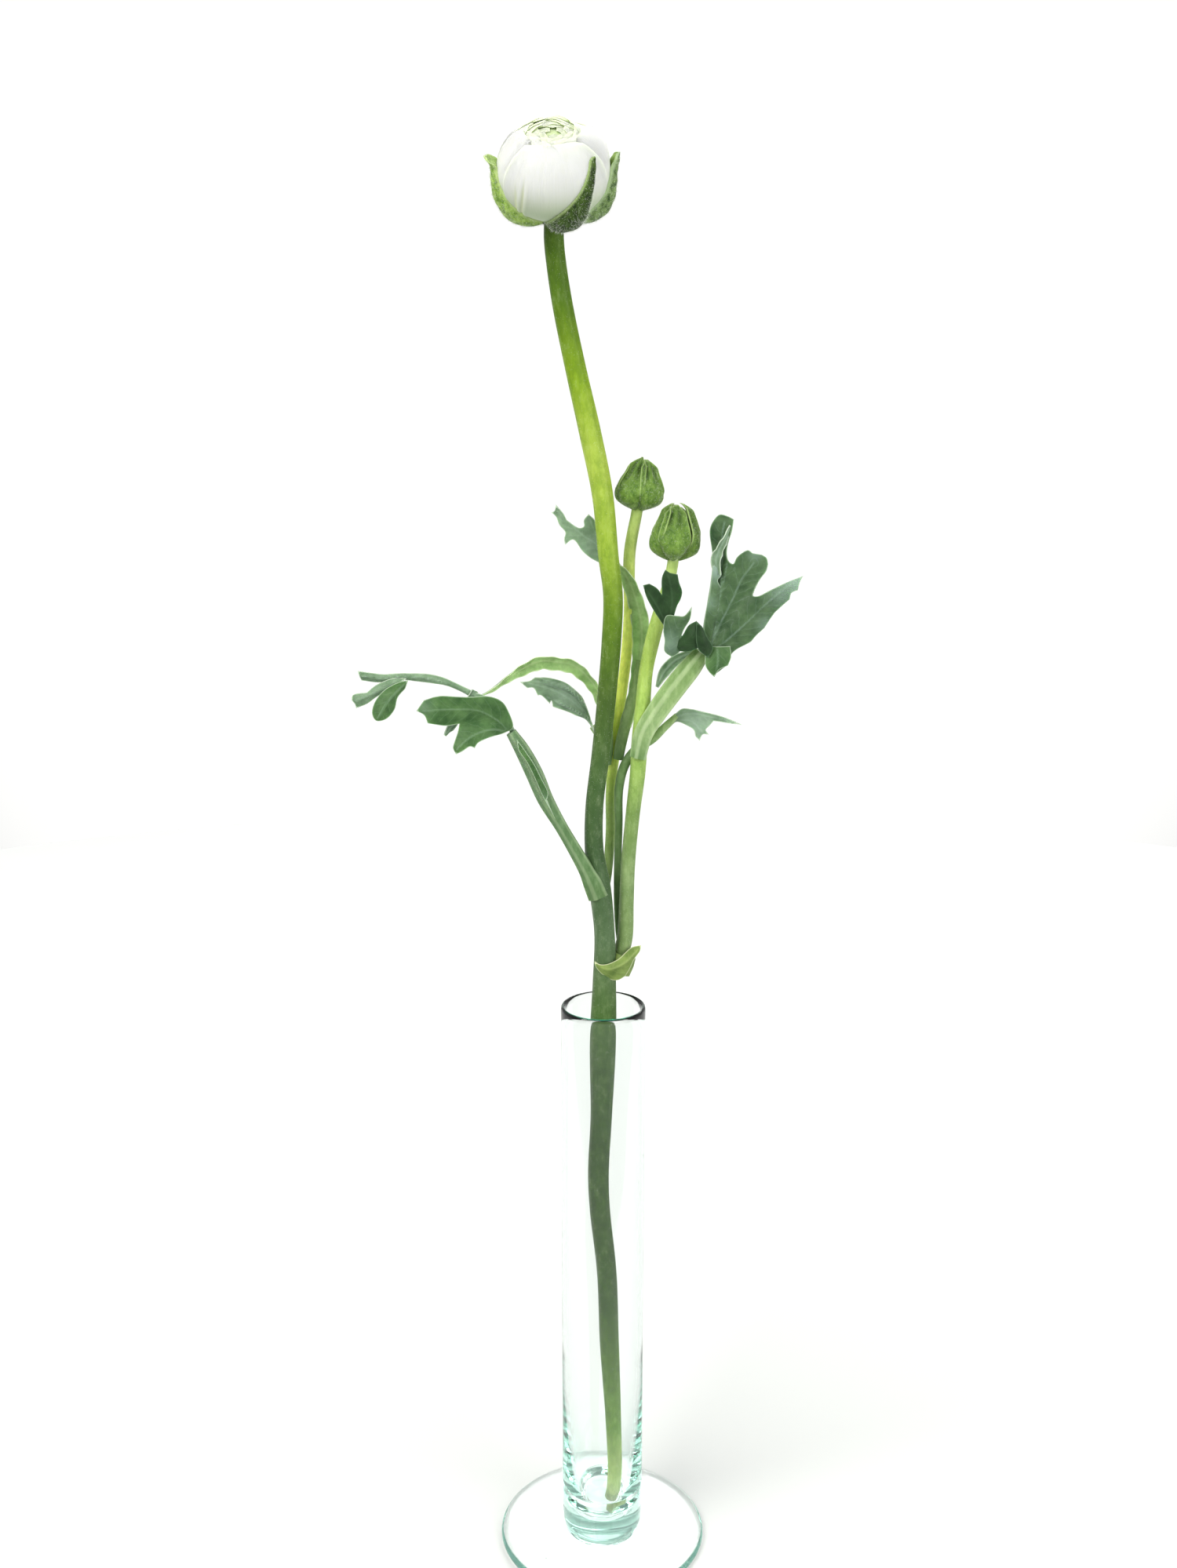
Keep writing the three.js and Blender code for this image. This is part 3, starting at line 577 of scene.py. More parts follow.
def add_stem(shape, rows, steps, sides, flat=1.0, ribs=0, depth=0.0, slot=0, fillet=0.0):
    """A stem or stalk, round or flattened, with shallow lengthwise ribs."""
    points, _, across, through, half, run = follow(rows, steps)
    turn = circle(sides)
    ripple = 1 + depth * np.cos(ribs * turn)[None, :]
    if fillet:
        end = np.minimum(run, run[-1] - run)
        half = half - fillet * np.clip(1 - end / fillet, 0, 1) ** 2
    wide = half[:, None] * ripple * np.cos(turn)
    deep = half[:, None] * ripple * np.sin(turn) * flat
    rings = points[:, None] + across[:, None] * wide[..., None] + through[:, None] * deep[..., None]
    crest = 0.5 + 0.5 * np.cos(ribs * turn)[None, :] if ribs else 0.0
    add_rings(shape, rings, slot, rib=2.0, rim=3.0, vein=crest)


# ---- Leaves -------------------------------------------------------------------
VEIN_PITCH = 3.2  # distance between side veins
BLADE = 0.5  # thickness of a blade at its rib
BLADE_EDGE = 0.16


def saw(phase):
    """Forward-pointing teeth from -1 to 1, rising slowly and falling fast."""
    part = phase % 1
    return np.where(part < 0.75, part / 0.75, (1 - part) / 0.25) * 2 - 1


TOOTH_PITCH = 4.0
LOBE_RIPPLE = 0.25
LOBE_STEP = 0.6
LOBE_COLUMNS = 15


def add_lobe(shape, rows, cup=0.25, teeth=0.14, start=0.35, slots=(0, 1)):
    """One cupped blade along its line, with toothed, rippled sides."""
    rough = follow(rows, 40)
    steps = max(12, int(rough[5][-1] / LOBE_STEP))
    points, _, across, through, half, run = follow(rows, steps)
    share = run / run[-1]
    bite = teeth * saw(run / TOOTH_PITCH) * np.clip((share - start) / 0.1, 0, 1)
    u = np.linspace(-1, 1, LOBE_COLUMNS)[None, :]
    tooth = 1 + bite[:, None] * np.abs(u) ** 5
    wide = half[:, None] * u * tooth
    crease = -0.18 * np.exp(-(wide / 0.45) ** 2)
    wave = LOBE_RIPPLE * np.sin(run[:, None] * 1.1 + 2.0 * np.sign(u)) * u ** 2
    wave = wave * np.minimum(half[:, None] / 2.5, 1)
    quilt = 0.07 * np.cos(2 * np.pi * (run[:, None] - np.abs(wide)) / VEIN_PITCH)
    quilt = quilt * np.abs(u) * (1 - np.abs(u))
    deep = half[:, None] * cup * (0.5 - u ** 2) + crease + wave + quilt
    grid = points[:, None] + across[:, None] * wide[..., None] + through[:, None] * deep[..., None]
    normal = grid_normals(grid)
    rim = half[:, None] * (1 - np.abs(u))
    tip = (run[-1] - run)[:, None]
    rim = np.minimum(rim, tip)
    thick = BLADE_EDGE + (BLADE - BLADE_EDGE) * np.exp(-np.abs(wide) / 1.2)
    offset = normal * (thick / 2)[..., None]
    vein = (run[:, None] * 0.9 - np.abs(wide)) / VEIN_PITCH
    add_sheet(shape, grid + offset, grid - offset, slots,
              rib=np.abs(wide), vein=vein, rim=rim)


def smooth_outline(corners, spacing):
    """Points along a closed outline that is round except at points marked sharp."""
    count = len(corners)
    sharp = [len(c) > 2 for c in corners]
    first = sharp.index(True)
    order = [(first + k) % count for k in range(count + 1)]
    runs = []
    current = [order[0]]
    for k in order[1:]:
        current.append(k)
        if sharp[k]:
            runs.append(current)
            current = [k]
    line = []
    for stretch in runs:
        rows = np.array([[*corners[k][:2], 0.0] for k in stretch])
        length = np.linalg.norm(np.diff(rows, axis=0), axis=1).sum()
        steps = max(1, round(length / spacing))
        line.append(spline(rows, np.linspace(0, 1, steps + 1))[:-1, :2])
    return np.vstack(line)


def inside(points, outline):
    """Which points lie inside a closed outline."""
    hits = np.zeros(len(points), bool)
    for a, b in zip(outline, np.roll(outline, -1, axis=0)):
        crosses = (a[1] > points[:, 1]) != (b[1] > points[:, 1])
        rise = b[1] - a[1] if b[1] != a[1] else 1e-9
        x = a[0] + (points[:, 1] - a[1]) * (b[0] - a[0]) / rise
        hits ^= crosses & (points[:, 0] < x)
    return hits


def outline_distance(points, outline):
    """Distance from each point to the nearest part of a closed outline."""
    nearest = np.full(len(points), np.inf)
    for a, b in zip(outline, np.roll(outline, -1, axis=0)):
        span = b - a
        t = np.clip(((points - a) @ span) / max(span @ span, 1e-9), 0, 1)
        gap = np.linalg.norm(points - a - t[:, None] * span, axis=1)
        nearest = np.minimum(nearest, gap)
    return nearest


BLADE_SPACING = 0.6


def add_blade(shape, corners, ribs, cup=0.05, ripple=0.3, folds=(), pale=(), slots=(0, 1),
              veined=True):
    """A whole blade inside an outline in x and z, hung on ribs of its lobes.

    Folds are (line, push, width), and pale spots are (x, z, reach, strength).
    """
    spacing = BLADE_SPACING
    outline = smooth_outline(corners, spacing)
    low, high = outline.min(axis=0), outline.max(axis=0)
    xs, zs = np.meshgrid(np.arange(low[0], high[0], spacing),
                         np.arange(low[1], high[1], spacing * 0.87))
    xs = xs + (np.arange(len(xs)) % 2)[:, None] * spacing / 2
    inner = np.column_stack([xs.ravel(), zs.ravel()])
    inner = inner[inside(inner, outline)]
    inner = inner[outline_distance(inner, outline) > spacing * 0.55]
    flat = np.vstack([outline, inner])
    border = len(outline)
    edges = [(i, (i + 1) % border) for i in range(border)]
    made = geometry.delaunay_2d_cdt([Vector(p) for p in flat], edges, [list(range(border))],
                                    1, 1e-5)
    flat = np.array([list(p) for p in made[0]])
    triangles = [tuple(f) for f in made[2]]
    level, rib, vein = hang(flat, ribs)
    rim = outline_distance(flat, outline)
    y = level - cup * np.minimum(rib, 6) - 0.16 * np.exp(-(rib / 0.45) ** 2)
    y = y + 0.09 * np.cos(2 * np.pi * vein) * np.clip(rim / 2, 0, 1) * np.clip(rib / 2, 0, 1)
    sway = np.sin(flat[:, 0] * 0.75 + 1.3) * np.sin(flat[:, 1] * 0.6)
    y = y + ripple * sway * np.exp(-rim / 2.5)
    for line, push, width in folds:
        gap = line_distance(flat, spline(line, np.linspace(0, 1, 60)))[0]
        y = y - push * np.exp(-(gap / width) ** 2)
        # painted highlight: the fold's line is also drawn pale, like a rib, along its crest
        rib = np.minimum(rib, gap + 0.1)
    points = np.column_stack([flat[:, 0], y, flat[:, 1]])
    if not veined:
        rib = np.maximum(rib, 1.5)
    tint = np.zeros(len(flat))
    for x, z, reach, strength in pale:
        gap = np.linalg.norm(flat - (x, z), axis=1)
        tint = np.maximum(tint, strength * np.exp(-(gap / reach) ** 2))
    add_plate(shape, points, triangles, rim, rib, vein, tint, slots)


def line_distance(flat, line):
    """Distance in x and z to the nearest sample of a line, and which sample."""
    gaps = np.linalg.norm(flat[:, None] - line[None, :, [0, 2]], axis=2)
    nearest = gaps.argmin(axis=1)
    return gaps[np.arange(len(flat)), nearest], nearest


def hang(flat, ribs):
    """The depth of a blade at points in x and z, from the ribs it hangs on."""
    total = np.zeros(len(flat))
    weights = np.zeros(len(flat))
    nearest = np.full(len(flat), np.inf)
    vein = np.zeros(len(flat))
    for rows in ribs:
        points, _, across, _, _, run = follow(rows, 80)
        gap, k = line_distance(flat, points)
        reach = np.column_stack([flat[:, 0] - points[k, 0], flat[:, 1] - points[k, 2]])
        side = unit(across[k][:, [0, 2]])
        slope = across[k][:, 1] / np.maximum(np.linalg.norm(across[k][:, [0, 2]], axis=1), 0.3)
        level = points[k, 1] + slope * (reach * side).sum(axis=1)
        weight = 1 / (gap ** 2 + 0.3) ** 1.5
        total += level * weight
        weights += weight
        closer = gap < nearest
        nearest = np.where(closer, gap, nearest)
        vein = np.where(closer, (run[k] * 0.9 - gap) / VEIN_PITCH, vein)
    return total / weights, nearest, vein


def add_plate(shape, points, triangles, rim, rib, vein, tint, slots):
    """Gives a triangulated surface its thickness, thin at the rim."""
    triangles = np.array(triangles)
    a, b, c = (points[triangles[:, k]] for k in range(3))
    face_normal = np.cross(b - a, c - a)
    turned = face_normal[:, 1] > 0
    triangles[turned] = triangles[turned][:, ::-1]
    face_normal[turned] *= -1
    normal = np.zeros_like(points)
    for k in range(3):
        np.add.at(normal, triangles[:, k], face_normal)
    normal = unit(normal)
    thick = BLADE_EDGE + (BLADE - BLADE_EDGE) * np.clip(rim / 2, 0, 1)
    thick = thick + 0.25 * np.exp(-(rib / 0.8) ** 2) * np.clip(rim, 0, 1)
    offset = normal * thick[:, None] / 2
    count = len(points)
    counts = {}
    for t in triangles:
        for i, j in ((t[0], t[1]), (t[1], t[2]), (t[2], t[0])):
            counts[(i, j)] = counts.get((i, j), 0) + 1
    open_edges = [(i, j) for (i, j) in counts if (j, i) not in counts]
    faces = [tuple(t) for t in triangles]
    faces += [tuple(count + i for i in t[::-1]) for t in triangles]
    faces += [(j, i, count + i, count + j) for i, j in open_edges]
    marks = [slots[0]] * len(triangles) + [slots[1]] * len(triangles) + [slots[0]] * len(open_edges)
    both = np.concatenate([points + offset, points - offset])
    shape.add(both, faces, marks, rib=np.tile(rib, 2), vein=np.tile(vein, 2),
              rim=np.tile(rim, 2), tint=np.tile(tint, 2))


# The slots of a leaf's materials. The fourth is either a darker green, painted shade for folded lobes
# in shadow, or a grassier green, and in the middle left leaf the first is the grassy one.
UPPER, UNDER, STALK, OTHER, MIDDLING = range(5)

# An outline has (x, z) and a 1 at each sharp corner. A rib or lobe has (x, y, z, half
# width) and a turn in degrees, where the blade isn't flat to the front.
RIGHT_BLADE = [
    (32.5, 325), (32, 332.5), (33, 339.5), (34.5, 350.5), (34.5, 357), (33.5, 364),
    (34.5, 367), (36.5, 369), (39, 368.5), (41, 367.5, 1), (40.5, 364), (39.5, 360.5),
    (39, 357), (39.5, 354.5), (41, 353.5), (42, 355.5), (43.5, 357), (45.5, 358),
    (47, 357, 1), (50, 356.5, 1), (51.5, 355.5), (52, 353.5, 1), (51.5, 351.5),
    (49.5, 348.5), (48, 345.5), (47.5, 343.5), (49, 343.5), (52, 345), (57, 347.5),
    (63, 350, 1), (62, 348), (61.5, 345.5, 1), (59.5, 344.5), (59, 342.5, 1), (56.5, 340),
    (54.5, 338, 1), (51.5, 333, 1), (49, 330.5), (47.5, 328.5, 1), (41.5, 324.5),
    (40, 320.5, 1), (37.5, 318.5), (35.5, 317, 1), (33, 321.5),
]
RIGHT_RIBS = [
    [(32, 3, 322, 2.4, 10), (35, 2.5, 331.5, 3.8, 15), (36.6, 2, 340.5, 4.4, 15),
     (37.6, 1.5, 349.5, 4, 20), (37.8, 1, 357, 2.8, 25), (37.6, 0.5, 363, 3, 15),
     (38, 0, 366.5, 2.5, 0)],
    [(32, 2.6, 322, 3, -5), (37, 1.2, 333.5, 5.8, -5), (41, 0.4, 342, 6, -5),
     (44, -0.6, 349, 5.6, -5), (47.5, -1.6, 354, 4.3, -5)],
    [(31, 2.2, 322.5, 3, -15), (39, 0.6, 328.6, 5.8, -15), (45.2, -1, 334.6, 6.2, -15),
     (51, -2, 340.5, 4.6, -15), (56, -3, 345, 2.8, -10), (60, -3.5, 348, 1.6, 0)],
]
RIGHT_FOLD = [(39.6, 0, 355.5), (38.3, 0, 348), (36.5, 0, 338), (35, 0, 328), (34.2, 0, 324)]
RIGHT_MARGIN = [
    (33.5, 326, 1), (32.3, 331), (32.7, 338.1), (33.7, 343.2), (34.3, 348.2), (34.6, 353, 1),
    (36.5, 352.5), (37.5, 350), (36.3, 348.2), (37.6, 345.2), (38, 341.2), (37.1, 336.1),
    (35.6, 331),
]
# a folded lobe that is painted in shade
RIGHT_DARK = [
    (20, 333), (17.5, 336), (15, 340), (13.5, 343), (12.5, 346.5, 1), (14.5, 347, 1), (17, 345.5),
    (18.5, 343.5, 1), (18.5, 349), (19.5, 351.5, 1), (21, 350.5, 1), (23.5, 350, 1), (24, 347.5),
    (25, 344.5), (24.5, 342), (23.5, 340), (22.5, 336.5), (22, 333.5),
]
RIGHT_FOLDS = [
    # folded lobes at the base: outline, rib, and whether the front is the upper green; where it isn't,
    # the front is painted shade
    ([(19, 332.5), (20, 337), (23.5, 337), (25.5, 337), (28, 340, 1), (27.5, 336), (25.5, 332.5),
      (24.5, 329), (24.5, 325.5), (22, 323.5, 1), (19.5, 325.5), (19.5, 329)],
     [(21, -0.8, 324, 2), (22.5, -1.6, 331, 2), (27.5, -2, 339.5, 2)], True),
    ([(23, 328), (25, 330.5), (27, 334), (29.5, 335.5, 1), (31, 333.5), (32.5, 331), (31, 327.5),
      (27.5, 325.5), (24, 325.5, 1)],
     [(24, -1, 326.5, 2), (28, -2.6, 330, 2), (30, -2.6, 334, 2)], False),
    ([(29.5, 335.5, 1), (31.5, 333.5), (33, 330.5), (35, 326.5), (33.5, 323.5, 1), (30.5, 326),
      (29.5, 329)],
     [(33.5, -1.5, 324.5, 2), (31.5, -3.3, 329.5, 2), (30, -3.4, 335, 2)], False),
]
RIGHT_FLAP = [
    (32.9, 327, 1), (32.7, 321), (34, 318.7), (35.6, 317.2, 1), (37, 319.5), (38, 320, 1),
    (40, 320.8, 1), (41, 323.6), (40.7, 327, 1),
]


RIGHT_STALK = [
    (11.5, 8, 288.5, 2.6), (13.5, 7.5, 297, 3.1), (17.5, 6.5, 304, 3.4), (24, 5, 313.5, 3.6),
    (28.5, 4, 319.5, 3.4), (32, 3, 324.5, 2.6),
]
RIGHT_PALE = [
    (62, 349, 7, 0.7), (57, 345, 5, 0.4), (48, 357, 2.5, 0.3), (52, 334, 3, 0.3),
    (34, 346, 2.2, 0.5), (33.6, 339, 2.2, 0.5), (33.4, 332, 2.2, 0.4),
]
RIGHT_MARGIN_RIB = [(34, 1, 327, 2), (35.3, 0.6, 338, 2), (36, 0, 352, 2)]
RIGHT_CURL = [
    (36.5, 0.2, 350, 1.4, 50), (35.5, -0.4, 354.5, 1.6, 20), (36.5, -0.8, 358, 1.5, -20),
    (38.3, -0.6, 361.5, 1.2, -40), (40, 0, 365.5, 0.5, -30),
]
RIGHT_DARK_RIBS = [
    [(21, 1.8, 332, 2), (17, 1.9, 340, 2), (12.5, 1.5, 346.5, 2)],
    [(21, 1.6, 333, 2), (21.8, 1.4, 343, 2), (20, 1.2, 351.7, 2)],
]
RIGHT_DARK_FOOT = [(26.5, 0.2, 327, 1.2, 10), (23.5, 1, 330, 1.4, 0), (21, 1.7, 334, 1.4, 0)]
RIGHT_FLAP_RIB = [(36.5, -0.3, 327, 2), (36.6, -1.2, 322, 2), (35.8, -1.4, 317, 2)]
RIGHT_BACK_LOBE = [
    (30, 6, 324.5, 1, 0), (28, 9, 323.3, 1.2, 0), (23.4, 9.5, 320.8, 1.8, 0),
    (20, 10, 317, 1.8, 0), (17.6, 10, 312, 0.5, 0),
]


def make_leaf_right(materials):
    shape = Shape()
    add_stem(shape, RIGHT_STALK, 60, 40, flat=0.62, ribs=5, depth=0.09, slot=STALK)
    add_blade(shape, RIGHT_BLADE, RIGHT_RIBS, folds=[(RIGHT_FOLD, 0.9, 0.9)], pale=RIGHT_PALE)
    add_blade(shape, RIGHT_MARGIN, [RIGHT_MARGIN_RIB], veined=False, cup=-0.3,
              pale=[(35.5, 352, 4, 0.7), (33, 341, 2.5, 0.4)])
    add_lobe(shape, RIGHT_CURL, cup=0.5, slots=(UNDER, UNDER))
    # the dark lobe and its foot take the painted-shade green
    add_blade(shape, RIGHT_DARK, RIGHT_DARK_RIBS, cup=0.1, slots=(OTHER, OTHER))
    add_lobe(shape, RIGHT_DARK_FOOT, start=0.95, slots=(OTHER, OTHER))
    for corners, rib, green in RIGHT_FOLDS:
        add_blade(shape, corners, [rib], cup=-0.25, slots=(UPPER if green else OTHER, UNDER),
                  pale=[(21, 328, 4, 0.3)] if green else (), veined=False)
    add_blade(shape, RIGHT_FLAP, [RIGHT_FLAP_RIB], cup=-0.2, slots=(MIDDLING, UNDER))
    add_lobe(shape, RIGHT_BACK_LOBE, teeth=0, slots=(UNDER, UNDER))
    shape.build("leaf_right_fine", materials, ["leaf_right"])


LEFT_BLADE = [
    (-29.5, 301), (-31, 307.5), (-33, 310.5), (-36.5, 312), (-45, 312), (-51.5, 312.5),
    (-54.5, 312, 1), (-57.5, 311, 1), (-60, 307.5, 1), (-57.5, 306), (-56.5, 303.5, 1),
    (-54, 303), (-50.5, 302.5), (-46.5, 303, 1), (-47, 300.5), (-48, 297.5, 1),
    (-48.5, 295.5), (-47.5, 293.5, 1), (-45.5, 294.5), (-43, 296), (-41.5, 295.5, 1),
    (-40.5, 297), (-37, 298.5), (-32.5, 299.5),
]
LEFT_RIBS = [
    [(-29.5, -3.6, 298.5, 1.5, 0), (-35, -6, 304.5, 3.3, 10), (-40.5, -7.5, 307.5, 4.5, 15),
     (-46.5, -8.5, 308, 4.8, 10), (-52, -9, 308, 4.5, 5), (-58, -9, 307.5, 3.5, 0)],
    [(-29.6, -3.8, 299, 1.5, -10), (-35.5, -6.7, 301, 3.8, -15), (-40.5, -8, 300, 5, -20),
     (-44, -9, 298, 4.6, -20), (-47.3, -9.6, 295, 3.2, -15)],
]


LEFT_STRAP = [
    (-27.5, 296.5, 1), (-29.2, 300.9), (-31.6, 306.1), (-35.4, 310), (-41.7, 312.8), (-48, 315.7),
    (-54.2, 318), (-63.7, 318.6), (-71.9, 318.2), (-79.6, 319, 1), (-78.4, 316, 1), (-73.4, 315.4),
    (-65, 316.4), (-58.7, 315.7), (-51.1, 314.8), (-45.5, 312.5), (-39.8, 308.7), (-35.5, 304.8),
    (-30.4, 299.3),
]
LEFT_STRAP_RIB = [
    (-28.5, -3, 297, 1), (-30.5, -3.6, 303, 1), (-34.5, -4, 307.7, 1), (-41, -4, 311.2, 1),
    (-48.3, -3.7, 314.4, 1), (-56.5, -3.1, 316.9, 1), (-64, -2.5, 317.5, 1), (-72, -1.8, 316.9, 1),
    (-79.3, -1, 317.6, 1),
]
LEFT_FLANGE = [
    (-16, 270, 1), (-17.2, 273), (-18.6, 276.8, 1), (-18.2, 279.2), (-20.2, 284), (-22.6, 289.2),
    (-25.4, 293.6), (-28.2, 297.6, 1), (-27.6, 294), (-24.8, 289.5), (-22.6, 284.6), (-20.4, 279),
]
LEFT_ENDS = [
    # lobes at the strap's end: outline and rib
    ([(-63.5, 317, 1), (-66, 315.3), (-69.5, 313.2), (-73.4, 311), (-76.6, 308.7), (-80.1, 307.3, 1),
      (-80.4, 308.7), (-81.4, 310, 1), (-81, 311.6), (-76.5, 312.5, 1), (-73.2, 315), (-68, 317)],
     [(-64, -2.6, 316.5, 2), (-71, -3.2, 313.8, 2), (-81, -3.6, 309.5, 2)]),
    ([(-63, 316.5, 1), (-66.2, 315.8), (-70.3, 313.8), (-73.5, 310), (-74.4, 306.2), (-73.1, 304.1),
      (-69.9, 304.6), (-67.3, 307.5), (-66.2, 311.3), (-64, 313.8, 1)],
     [(-63.5, -3.2, 316, 2), (-69, -7, 310.5, 2), (-72.5, -8, 305, 2)]),
]


LEFT_STALK = [
    (-1.5, 5.5, 241, 3.4), (-3.4, 5, 246, 3.2), (-5.5, 4.5, 250.5, 2.6), (-10, 3.5, 259, 2.2),
    (-14, 2, 266.5, 2.1), (-19, 0.5, 276, 2.6), (-22.5, -1, 285, 2.8), (-26.5, -2.5, 293.5, 2.4),
    (-30, -3.5, 299.5, 1.7),
]
LEFT_FLANGE_RIB = [
    (-16.5, -1.2, 271, 1), (-20.3, -3.2, 280, 1), (-24, -4.8, 288, 1), (-28.5, -5.4, 297, 1),
]
LEFT_STRAP_FOLD = [
    (-30, 0, 302.5), (-35, 0, 308.6), (-48, 0, 315), (-60, 0, 318), (-75, 0, 317.6),
]
LEFT_LOBE = [
    (-41.5, -4, 313.2, 1.2, 20), (-45, -3.9, 307, 1.3, 20), (-48, -3.7, 303, 1.3, 20),
    (-50.5, -4, 300, 1, 20), (-51.5, -4, 298.5, 0.4, 20),
]


def make_leaf_lower_left(materials):
    shape = Shape()
    add_stem(shape, LEFT_STALK, 110, 36, flat=0.6, ribs=5, depth=0.08, slot=STALK)
    add_blade(shape, LEFT_FLANGE, [LEFT_FLANGE_RIB], cup=0.1, ripple=0.1,
              slots=(MIDDLING, UNDER), veined=False, pale=[(-19, 276, 3, 0.3)])
    add_blade(shape, LEFT_STRAP, [LEFT_STRAP_RIB], cup=-0.5, slots=(UNDER, UNDER),
              folds=[(LEFT_STRAP_FOLD, 0.5, 0.5)])
    for (corners, rib), slots in zip(LEFT_ENDS, ((UNDER, UPPER), (MIDDLING, UNDER))):
        add_blade(shape, corners, [rib], cup=-0.25, slots=slots)
    add_blade(shape, LEFT_BLADE, LEFT_RIBS, cup=0.04, pale=[(-58, 309, 3, 0.3)],
              slots=(MIDDLING, UNDER))
    add_lobe(shape, LEFT_LOBE, slots=(UNDER, UNDER))
    shape.build("leaf_lower_left_fine", materials, ["leaf_lower_left"])


MID_LEFT_STALK = [
    (1.3, 16.2, 284.5, 1.4), (1.8, 15.8, 291, 1.5), (1.2, 15.4, 300, 1.5), (-2, 15, 309.5, 1.3),
]
MID_LEFT_STRAP = [
    (1.8, 15.7, 293, 1.7, 50), (1, 15.4, 300.5, 2.1, 50), (-2, 15, 309.5, 2.4, 45),
    (-5, 14.5, 314, 2.6, 40), (-10, 13, 318.5, 2.8, 30), (-16, 11, 320, 2.8, 30),
    (-21, 9, 320.5, 2.7, 30), (-27.5, 6.5, 318, 2.2, 35), (-32.5, 4.5, 315, 1.5, 50),
    (-37, 2.5, 312, 1, 60), (-40.5, 1.5, 310.5, 0.4, 70),
]


def make_leaf_mid_left(materials):
    shape = Shape()
    add_stem(shape, MID_LEFT_STALK, 30, 24, flat=0.6, slot=STALK)
    add_lobe(shape, MID_LEFT_STRAP, cup=0.55, teeth=0)
    shape.build("leaf_mid_left_fine", materials, ["leaf_mid_left"])


BACK_LEFT_BLADE = [
    (-0.3, 291, 1), (-3, 296), (-4.5, 300.5), (-7, 307), (-11, 311), (-14.5, 313), (-19, 314),
    (-23, 314, 1), (-24.5, 313), (-28, 312.5, 1), (-25.5, 310.5, 1), (-23.5, 310.5), (-22, 308, 1),
    (-21, 308), (-18, 305, 1), (-17.5, 306), (-17, 304, 1), (-13, 302.5), (-9.5, 301),
    (-6, 299.5), (-3.2, 295), (-1.6, 290.5, 1),
]


BACK_LEFT_STALK = [
    (2.2, 20.8, 283.5, 1.4), (1.6, 21, 288, 1.5), (-0.5, 20.4, 292.5, 1.5), (-3.5, 19.6, 297, 1.3),
]
BACK_LEFT_RIBS = [
    [(-1, 20.4, 291, 2), (-4.5, 19.2, 298.5, 2), (-9, 18.7, 304.5, 2), (-16, 18.2, 309.3, 2),
     (-27.5, 17.5, 312.6, 2)],
    [(-6, 19.2, 302, 2), (-11, 18.8, 308, 2), (-18, 18.4, 311.6, 2), (-24, 18, 313, 2)],
    [(-6, 19.2, 300.4, 2), (-12, 18.8, 304, 2), (-19, 18.4, 307.2, 2)],
]
BACK_LEFT_FOLDS = [
    # line, push and width
    ([(-5, 0, 303), (-10, 0, 309), (-20, 0, 312.6)], 1.3, 0.6),
    ([(-4, 0, 299), (-9, 0, 302.5), (-15, 0, 305.5)], 1.2, 0.5),
    ([(-6, 0, 305), (-13, 0, 311), (-21, 0, 313.6)], 0.9, 0.4),
]


def make_leaf_back_left(materials):
    shape = Shape()
    add_stem(shape, BACK_LEFT_STALK, 24, 24, flat=0.6, slot=STALK)
    add_blade(shape, BACK_LEFT_BLADE, BACK_LEFT_RIBS, cup=0.35, ripple=0.5,
              slots=(UNDER, UPPER), pale=[(-12, 308, 5, 0.3)], folds=BACK_LEFT_FOLDS)
    shape.build("leaf_back_left_fine", materials, ["leaf_back_left"])


UPPER_LEFT_TIP = [
    (2.5, 349, 1), (0.5, 351.5), (-4, 354), (-7, 356.5), (-10, 360.2), (-12.6, 358.6, 1),
    (-12.9, 360.6), (-12.5, 362.5), (-14.5, 365), (-15.5, 367.5), (-17, 369, 1), (-16, 369.5),
    (-15.5, 371.5, 1), (-13, 368.5), (-12, 366.5, 1), (-8, 364), (-6.5, 364.5), (-6.5, 366.5),
    (-5, 368.5, 1), (-3, 366.5), (-2.5, 364), (-0.5, 361), (2.5, 356), (5.5, 352, 1),
]


UPPER_LEFT_STALK = [
    (5, 15, 286.5, 1.7), (6, 14.9, 292.5, 1.9), (7.8, 14.7, 300, 1.9), (10.5, 15, 309.5, 1.7),
    (12, 15, 320, 1.3),
]
UPPER_LEFT_STRAP = [
    (7.4, 14.7, 298, 2.1, 20), (10.5, 15, 309.5, 2.3, 30), (12, 15.2, 320, 2.7, 30),
    (12.5, 14.8, 330.5, 3.2, 25), (10.5, 14.2, 340.5, 2.8, 25), (7, 13.5, 348.5, 2.2, 30),
    (4, 13.2, 351.5, 1.2, 25),
]
UPPER_LEFT_RIBS = [
    [(4.5, 13.3, 350, 2), (-1.5, 12.5, 358, 2), (-7, 12, 361.8, 2), (-16, 11, 370.5, 2)],
    [(1, 12.9, 355.5, 2), (-3, 11.6, 363, 2), (-5, 10.6, 368.5, 2)],
]


def make_leaf_upper_left(materials):
    shape = Shape()
    add_stem(shape, UPPER_LEFT_STALK, 40, 24, flat=0.6, slot=STALK)
    add_lobe(shape, UPPER_LEFT_STRAP, cup=0.35, teeth=0, slots=(OTHER, UNDER))
    add_blade(shape, UPPER_LEFT_TIP, UPPER_LEFT_RIBS, cup=0.15, slots=(UNDER, UPPER),
              pale=[(-3, 357, 4, 0.3), (4, 352, 4, 0.3)])
    shape.build("leaf_upper_left_fine", materials, ["leaf_upper_left"])


